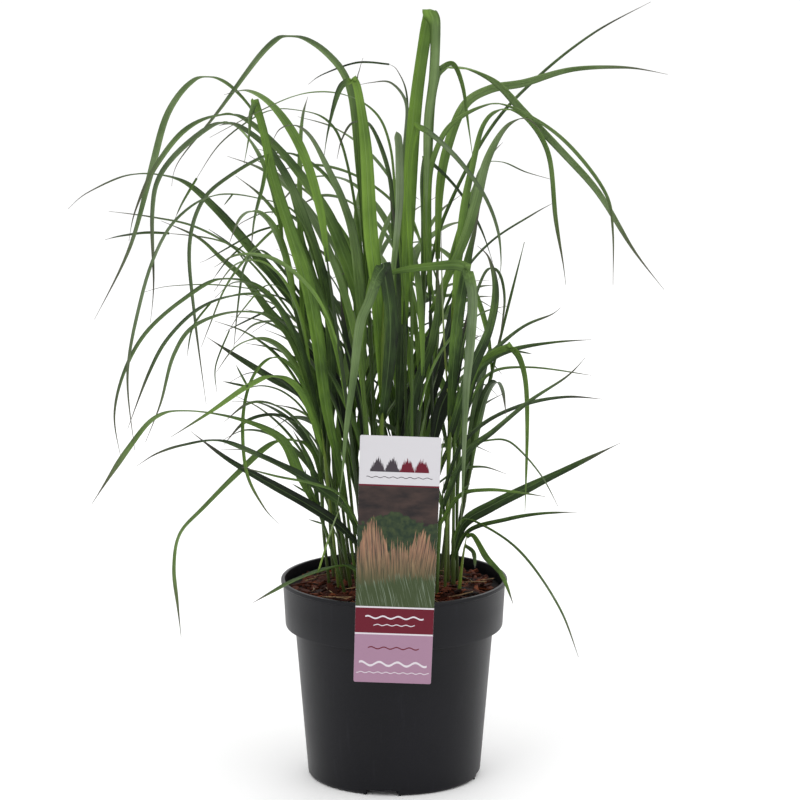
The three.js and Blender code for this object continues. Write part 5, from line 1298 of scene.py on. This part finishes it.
def layBlade(master, blade, tones, bloomsAndSheen, paintedLowShade, draw):  # tones, and the grey bloom with painted sheen: rising part, hanging part
    look = leafShape
    new = copyOf(master, "leaf")
    base = coordsOf(new)
    share = base[:, 1] + 0.5
    points, ways = blade["points"], blade["ways"]
    steps = np.diff(points, axis=0)
    lengths = lengthsOf(steps)
    run = runOf(lengths)
    tangents = steps / lengths[:, None]
    # rows lie closer together where the leaf turns
    turns = np.arccos(np.clip(np.sum(tangents[1:] * tangents[:-1], axis=1), -1, 1))
    cost = lengths + look["turning"] * (lengthsOf(np.diff(ways, axis=0)) + np.concatenate([turns, [0]]))
    cost = runOf(eased(cost, look["easedRun"]))
    at = np.interp(share * cost[-1], cost, run)
    nodal = np.vstack([tangents[:1], tangents[1:] + tangents[:-1], tangents[-1:]])
    middle, tangent, way = rowsOf(points, run, at), rowsOf(nodal, run, at), rowsOf(ways, run, at)
    tangent /= lengthsOf(tangent)[:, None]
    way -= tangent * np.sum(way * tangent, axis=1)[:, None]
    way /= lengthsOf(way)[:, None]
    face = np.cross(tangent, way)
    part = at / run[-1]
    twist = math.radians(look["twist"]) * np.sin(part * draw.uniform(*look["twists"]) + draw.uniform(0, 6.28))
    twist = twist * part ** 0.5
    rising = tangents @ upward
    ends, steep, drooping = look["archEnds"]
    if blade["arches"] and rising[:ends].mean() > steep and rising[-ends:].mean() < drooping:
        # a leaf that arches over lies flat on top of its arch, so its edge shows there
        twist = twist + math.radians(look["arch"]) * np.exp(-((tangent @ upward / look["archReach"]) ** 2))
    cosine, sine = np.cos(twist)[:, None], np.sin(twist)[:, None]
    way, face = way * cosine + face * sine, face * cosine - way * sine
    sizes = np.interp(at, run, eased(blade["sizes"], look["easedWidth"]))
    taper = look["taper"] * run[-1] if blade["pointed"] else look["bluntRun"]
    sizes *= np.clip((run[-1] - at) / taper, 0, 1) ** look["narrowing"]
    half = np.maximum(sizes, look["tip"]) / 2
    side = np.sign(base[:, 0]) * (np.abs(base[:, 0]) * 2) ** 2
    wave = look["wave"] * np.sin(part * look["waves"] + draw.uniform(0, 6.28) + side)
    lift = base[:, 2] * half * 2 + wave * np.abs(side) * np.clip(half / look["waveWidth"], 0, 1)
    setCoords(new, (middle + way * (base[:, 0] * 2 * half)[:, None] + face * lift[:, None]) * mm)
    # the pattern runs evenly along the leaf
    rows = np.unique(np.round(np.column_stack([share, part]), 6), axis=0)
    uv = new.data.uv_layers[0].data
    flat = np.empty(len(uv) * 2)
    uv.foreach_get("uv", flat)
    end = look["bluntEnd"] if not blade["pointed"] else look["creasedEnd"] if blade["creased"] else 1
    flat[1::2] = np.interp(flat[1::2], rows[:, 0], rows[:, 1] * end)
    uv.foreach_set("uv", flat)
    under = np.interp(at, run, blade["under"])
    # painted shade: a leaf darkens below a height, most on its lower half, as inside the clump
    most, fade = look["lowFade"]
    low = np.clip((look["lowTop"] - middle[:, 2]) / look["lowDepth"], 0, 1)
    low = low * np.clip(most - part * fade, 0, 1)
    setTones(new, "tone", tones[0] + (tones[1] - tones[0]) * under - paintedLowShade * low)
    # the grey bloom and painted sheen rise along the leaf and are full on its hanging part
    bloomAndSheenStart, reach, least = look["grown"]
    grown = np.maximum(np.clip((part - bloomAndSheenStart) / reach, least, 1), under)
    setTones(new, "bloomAndSheen", (bloomsAndSheen[0] + (bloomsAndSheen[1] - bloomsAndSheen[0]) * under) * grown)
    return new


def layStem(master, plant, tone):
    look = stemShape
    new = copyOf(master, "stem")
    base = coordsOf(new)
    share = base[:, 2] + 0.5
    points = np.array(smooth(plant["points"][1:], look["rings"]))
    points = np.vstack([plant["points"][0], points])
    run = runOf(lengthsOf(np.diff(points, axis=0)))
    at = share * run[-1]
    radius = stemSize["footRadius"] + (stemSize["headRadius"] - stemSize["footRadius"]) * share
    radius = radius - look["slimmer"] * (1 - share)
    for leaf in plant["leaves"]:
        if leaf is None or leaf["on"] is not None:
            continue
        knot = run[np.argmin(lengthsOf(points - leaf["points"][0]))]
        radius = radius + look["knot"] * np.exp(-(((at - knot) / look["knotLength"]) ** 2))
        inSheath = (at < knot) & (at > knot - look["sheathLength"])
        radius = radius + np.where(inSheath, look["sheath"] * (1 - (knot - at) / look["sheathLength"]), 0)
    radius = np.minimum(radius, stemSize["footRadius"] + look["most"])
    # the head is a young leaf, still rolled to a point
    pointed = radius * np.clip((run[-1] - at) / look["point"], 0, 1) ** 0.7
    radius = np.maximum(pointed, look["pointRadius"])
    coords = rowsOf(points, run, at)
    coords[:, 0] += base[:, 0] * radius
    coords[:, 1] += base[:, 1] * radius
    setCoords(new, coords * mm)
    setTones(new, "tone", tone)
    return new


def thinBlade(points, width, tone):
    widths = [share * width for share in thinShape["taper"]] + [0.3]
    sizes = np.interp(np.linspace(0, 1, len(points)), (0, 0.3, 0.7, 1), widths)
    return {"points": points, "ways": np.array(widthWays(points, toEye, 0)), "sizes": sizes, "pointed": True,
            "under": np.zeros(len(points)), "arches": False, "creased": False, "tone": tone}


def thinBlades(blades, draw):  # thin leaves of each plant: those listed, then some by rule
    look = thinShape
    spots = []
    for p, plant in enumerate(plants):
        lines = [np.array(smooth(plant["points"][1:], look["samples"]))]
        lines += [blade["points"] for blade in blades[p].values()]
        spots += [(p, seen(point)) for line in lines for point in line[::3]]
    shown = np.array([start[:2] for p, start in spots])
    thin = [[] for plant in plants]
    for tone, course in thinCourses:
        course = pairsOf(course)
        p, start = spots[np.argmin(lengthsOf(shown - np.array(course[0])))]
        marks = smooth([start[:2]] + course[1:], look["samples"])
        end = start[2] + draw.uniform(-1, 1) * look["deep"]
        points = np.array(depthPath(marks, start[2], end, 0))
        thin[p].append(thinBlade(points, draw.uniform(*look["width"]), tone))
    for p in range(len(handStems), len(plants)):
        for i in range(look["perStem"]):
            start = along(plants[p]["points"][1:], draw.uniform(*look["start"]))
            turn = plants[p]["turn"] + draw.uniform(-look["turn"], look["turn"])
            length, steep, droop = (draw.uniform(*look[name]) for name in ("length", "steep", "droop"))
            course = archLeaf(start, turn, length, steep, droop, draw.uniform(-look["sweep"], look["sweep"]))
            if inReach(course):
                points = np.array(smooth(course, look["samples"]))
                thin[p].append(thinBlade(points, draw.uniform(*look["width"]), draw.uniform(*look["tone"])))
    return thin


def limited(value, limits):
    return min(max(value, limits[0]), limits[1])


# the rise with height is partly older leaves lower down, partly painted shade inside the clump
def usualTone(blade, drawnByHand, draw):  # leaves laid by rule are brighter higher up
    if drawnByHand:
        return limited(draw.gauss(*toneShape["leaf"]), toneShape["limits"])
    least, fromHeight, rise, spread = toneShape["rest"]
    height = np.mean(blade["points"][:, 2])
    return limited(least + (height - fromHeight) / rise + draw.uniform(0, spread), toneShape["limits"])


def growGrass():
    draw = random.Random(leafShape["seed"])
    broad = makeLeafMaster(leafShape["columns"], leafShape["rows"])
    narrow = makeLeafMaster(leafShape["thinColumns"], leafShape["thinRows"])
    stemMaster = makeStemMaster()
    blades = [bladesOf(plant) for plant in plants]
    thin = thinBlades(blades, draw)
    for number, plant in enumerate(plants, 1):
        drawnByHand = number <= len(handStems)
        paintedLowShade = leafShape["paintedLowShade"] if drawnByHand else 0
        made = []
        for i, blade in blades[number - 1].items():
            tone = leafTones.get((number, i), usualTone(blade, drawnByHand, draw))
            bloomAndSheen = leafBloomsAndSheen.get((number, i), draw.uniform(*toneShape["bloomAndSheen"]))
            hanging = (number, blade.get("hangs"))
            tones, bloomsAndSheen = (tone, leafTones.get(hanging, tone)), (bloomAndSheen, leafBloomsAndSheen.get(hanging, bloomAndSheen))
            made.append(layBlade(broad, blade, tones, bloomsAndSheen, paintedLowShade, draw))
        for blade in thin[number - 1]:
            bloomAndSheen = draw.uniform(*thinShape["bloomAndSheen"])
            made.append(layBlade(narrow, blade, [blade["tone"]] * 2, [bloomAndSheen] * 2, 0, draw))
        leaves = joinInto(made, "leaves")
        applyModifier(leaves, "SOLIDIFY", thickness=leafShape["thick"] * mm, offset=0, use_even_offset=False)
        finish(leaves, grassLeaf)
        stem = layStem(stemMaster, plant, limited(draw.gauss(*toneShape["stem"]), toneShape["stemLimits"]))
        finish(stem, grassStem)
        name = "leafy_stem_%02d" % number
        whole = joinInto([leaves, stem], "grass_%02d" % number)
        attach(whole, "root")
        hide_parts(name)
    discard(broad, narrow, stemMaster)


growGrass()
print("grass made")


# ---- the plant label: a card with a strap over the rim and a tongue behind it

labelLook = {
    "white": (0.55, 0.54, 0.565), "maroon": (0.112, 0.005, 0.016), "mauve": (0.315, 0.185, 0.265),
    "line": (0.6, 0.56, 0.6), "dusk": (0.014, 0.011, 0.012), "haze": (0.062, 0.038, 0.032),
    "thicket": (0.012, 0.026, 0.014), "plume": (0.33, 0.175, 0.105), "straw": (0.42, 0.30, 0.17),
    "meadow": (0.040, 0.058, 0.022), "frost": (0.30, 0.36, 0.28), "charcoal": (0.045, 0.036, 0.045),
    "bandTop": 41.5, "picture": 64, "pictureTop": 166, "lineWidth": 1.3, "sharp": 0.1,
    "cloudStretch": (0.05, 0, 0.11), "leafyStretch": (0.22, 0, 0.22), "strokeRise": 0.045,
    # what has a rough top edge: how rough, how far under its line, how soft; then its own line
    "trees": (16.0, 8.0, 1.5), "treeLine": (0.11, 1.9, 5.0, 139.0),
    "turf": (22.0, 11.0, 3.0), "turfLine": (0.06, 0.6, 5.0, 84.0), "turfStrokes": (1.9, 0.25, 5.5),
    "tussock": (44.0, 24.0, 1.6), "dome": -34.0, "fade": (80.0, 34.0), "hairs": 1.25, "brightHairs": 2.6,
    # tussocks: middle, half width, top, seed, slant
    "tussocks": ((-20, 15, 134, 0.3, 0.10), (21, 17, 127, 3.1, -0.12), (1, 19, 117, 7.7, 0.03)),
    "tuft": (9.0, 0.0, 0.5), "tuftFoot": 178.0, "tuftTop": (14.0, 172.0), "tuftSpacing": 0.26,
    "tuftReach": 24.2, "tuftStrokes": (2.4, 0.0, 9.1),
    # waved lines: colour, height, waves, swing, half length, thickness
    "ribbons": (("charcoal", 173.5, 0.9, 0.5, 27.0, 0.6), ("line", 55.5, 0.5, 1.0, 24.0, 1.3),
                ("line", 49.0, 0.8, 0.5, 17.0, 0.7), ("maroon", 29.5, 0.6, 0.8, 21.0, 1.0),
                ("line", 16.0, 0.42, 1.6, 28.0, 1.8), ("line", 8.5, 0.9, 0.5, 30.0, 0.6)),
    "grainScale": 1400.0, "roughness": 0.4, "specular": 0.2, "relief": 0.00003,
}
labelShape = {"cornerRound": 1.4, "cornerSteps": 5, "edgeRound": 0.12, "edgeSteps": 2, "tongueX": 2}


def makeLabelMaterial():
    material, surface = beginMaterial("printedCard")
    look = labelLook
    spots = objectSpots()
    # millimetres on the card, x from its middle and z from its foot
    flat = addNode("Mapping", vector_type="TEXTURE", Vector=spots, Scale=(mm, mm, mm),
                   Location=(card["footX"] * mm, 0, card["foot"] * mm),
                   Rotation=(0, math.radians(card["lean"]), 0))[0]
    x, _, z = addNode("SeparateXYZ", flat)

    def wavy(values, waves, shift, swing, height):
        turned = calc("MULTIPLY_ADD", values, waves, shift) if shift else calc("MULTIPLY", values, waves)
        return calc("MULTIPLY_ADD", calc("SINE", turned), swing, height)

    def above(edge, softness=look["sharp"]):  # 1 past a height, 0 under it
        return calc("DIVIDE", calc("SUBTRACT", z, edge), softness, clamp=True)

    def under(line, pattern, shape):  # 1 under a line that the pattern roughens, 0 past it
        rough, sunk, softness = shape
        height = calc("MULTIPLY_ADD", pattern, rough, calc("SUBTRACT", line, sunk))
        return calc("SUBTRACT", 1.0, above(height, softness), clamp=True)

    def mottled(pattern, contrast, dark, light):
        return blend(calc("MULTIPLY_ADD", pattern, *contrast, clamp=True), look[dark], look[light])

    def strokes(fineness, slant, seed):  # upright hairs, leaning with a slant
        leaning = calc("MULTIPLY_ADD", z, slant, x)
        hairs = addNode("CombineXYZ", leaning, seed, calc("MULTIPLY", z, look["strokeRise"]))[0]
        return noise(hairs, (fineness, 1, 1), Scale=1.0, Detail=3.0)

    # the picture: a dusk sky over a thicket, with rounded tussocks of tall grass on a mown slope
    clouds = noise(flat, look["cloudStretch"], Scale=1.0, Detail=4.0)
    sky = mottled(clouds, (2.4, -0.8), "dusk", "haze")
    leafy = noise(flat, look["leafyStretch"], Scale=1.0, Detail=5.0)
    trees = under(wavy(x, *look["treeLine"]), leafy, look["trees"])
    picture = blend(trees, sky, mottled(leafy, (3.0, -1.1), "thicket", "meadow"))
    for middle, halfWide, top, seed, slant in look["tussocks"]:
        off = calc("DIVIDE", calc("SUBTRACT", x, middle), halfWide)
        dome = calc("MULTIPLY_ADD", calc("MULTIPLY", off, off), look["dome"], top)
        hairs = strokes(look["hairs"], slant, seed)
        tussock = under(dome, hairs, look["tussock"])
        heads = mottled(hairs, (3.2, -1.2), "haze", "plume")
        bright = calc("MULTIPLY_ADD", strokes(look["brightHairs"], slant, seed + 1), 4.0, -2.1, clamp=True)
        fade = above(*look["fade"])
        picture = blend(tussock, picture, blend(fade, look["meadow"], blend(bright, heads, look["straw"])))
    turf = strokes(*look["turfStrokes"])
    lawn = under(wavy(x, *look["turfLine"]), turf, look["turf"])
    picture = blend(lawn, picture, mottled(turf, (3.4, -1.9), "meadow", "frost"))
    # the bands from the foot up, with a line where they meet
    whole = look["mauve"]
    for edge, band in ((look["bandTop"], look["maroon"]), (look["picture"], picture),
                       (look["pictureTop"], look["maroon"]),
                       (look["pictureTop"] + look["lineWidth"], look["white"])):
        whole = blend(above(edge), whole, band)
    for edge in (look["bandTop"], look["picture"]):
        whole = blend(calc("COMPARE", z, edge, look["lineWidth"] / 2), whole, look["line"])
    # a row of small tufts on the white, and waved lines below the picture
    away = calc("ABSOLUTE", x)
    tuftTop = calc("MULTIPLY_ADD", strokes(*look["tuftStrokes"]), *look["tuftTop"])
    humps = calc("ABSOLUTE", calc("SINE", calc("MULTIPLY", x, look["tuftSpacing"])))
    tufts = under(tuftTop, humps, look["tuft"])
    tufts = calc("MULTIPLY", calc("MULTIPLY", above(look["tuftFoot"]), tufts),
                 calc("LESS_THAN", away, look["tuftReach"]))
    whole = blend(tufts, whole, blend(calc("GREATER_THAN", x, 0.0), look["charcoal"], look["maroon"]))
    for name, height, waves, swing, halfLong, thick in look["ribbons"]:
        ribbon = calc("COMPARE", z, wavy(x, waves, 0, swing, height), thick / 2)
        whole = blend(calc("MULTIPLY", ribbon, calc("LESS_THAN", away, halfLong)), whole, look[name])
    # only the front is printed; the back and the strap stay plain
    facing = addNode("SeparateXYZ", addNode("NewGeometry")["True Normal"])[1]
    feed(surface["Base Color"], blend(calc("LESS_THAN", facing, -0.9), look["white"], whole))
    surface["Roughness"].default_value = look["roughness"]
    surface["Specular IOR Level"].default_value = look["specular"]
    grain = noise(spots, Scale=look["grainScale"], Detail=2.0)
    feed(surface["Normal"], relief(grain, look["relief"]))
    return material


def makeLabel():
    look = labelShape
    front = -(pot["rim"] + card["gap"] + card["thick"] / 2)
    deselectAll()
    bpy.ops.mesh.primitive_cube_add(size=1, location=(0, 0, 0))
    label = justAdded("label_card")
    x, y, z = coordsOf(label).T
    x = x * np.where(z > 0, card["topWidth"], card["footWidth"])
    z, x = spun((z + 0.5) * card["height"], x, math.radians(card["lean"]))
    corners = np.column_stack([x + card["footX"], y * card["thick"] + front, z + card["foot"]])
    setCoords(label, corners * mm)
    pickEdges(label, lambda a, b: abs(a.y - b.y) > 0.5 * card["thick"] * mm)
    bpy.ops.mesh.bevel(offset=look["cornerRound"] * mm, segments=look["cornerSteps"], affect="EDGES")
    bpy.ops.object.mode_set(mode="OBJECT")
    strapZ = pot["height"] + card["gap"] + card["thick"] / 2
    back = -(pot["collarFoot"] - pot["wall"] - 5)
    size = (card["tongueWidth"], back - front, card["thick"])
    cut(label, addBox("strap", size, (look["tongueX"], (front + back) / 2, strapZ)), "UNION")
    top, foot = strapZ + card["thick"] / 2, barkHeight(pot["rim"]) + 3.2
    size = (card["tongueWidth"], card["thick"], top - foot)
    cut(label, addBox("tongue", size, (look["tongueX"], back, (top + foot) / 2)), "UNION")
    applyModifier(label, "BEVEL", width=look["edgeRound"] * mm, segments=look["edgeSteps"],
                  limit_method="ANGLE", angle_limit=math.radians(60))
    finish(label, makeLabelMaterial())
    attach(label, "root")
    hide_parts("plant_label")


makeLabel()
print("label made")


# ---- floor and light

studio = {
    "floor": (0.98, 0.98, 0.98), "floorRoughness": 0.9, "floorSize": 16, "floorDrop": 0.0002, "sky": 1.06,
    "aim": (0, 0, 0.3),
    # lights: where, how wide, how strong
    "lights": {"keyLight": ((-1.2, -1.8, 2.1), 1.2, 13), "fillLight": ((1.7, -1.2, 1.3), 1.4, 5),
               "backLight": ((0.3, 1.9, 1.9), 1.5, 8)},
}


def makeStage():
    deselectAll()
    bpy.ops.mesh.primitive_plane_add(size=studio["floorSize"], location=(0, 0, -studio["floorDrop"]))
    floor = justAdded("floor")
    material, surface = beginMaterial("paleFloor")
    feed(surface["Base Color"], studio["floor"])
    surface["Roughness"].default_value = studio["floorRoughness"]
    finish(floor, material)
    world = bpy.data.worlds.new("softLight")
    bpy.context.scene.world = world
    world.use_nodes = True
    sky = world.node_tree.nodes["Background"].inputs
    sky["Color"].default_value = (1, 1, 1, 1)
    sky["Strength"].default_value = studio["sky"]
    for name, (at, size, power) in studio["lights"].items():
        bpy.ops.object.light_add(type="AREA", location=at)
        light = bpy.context.object
        light.name = name
        light.data.size = size
        light.data.energy = power
        facing = Vector(studio["aim"]) - Vector(at)
        light.rotation_euler = facing.to_track_quat("-Z", "Y").to_euler()


makeStage()
bpy.context.scene.view_settings.view_transform = "Standard"
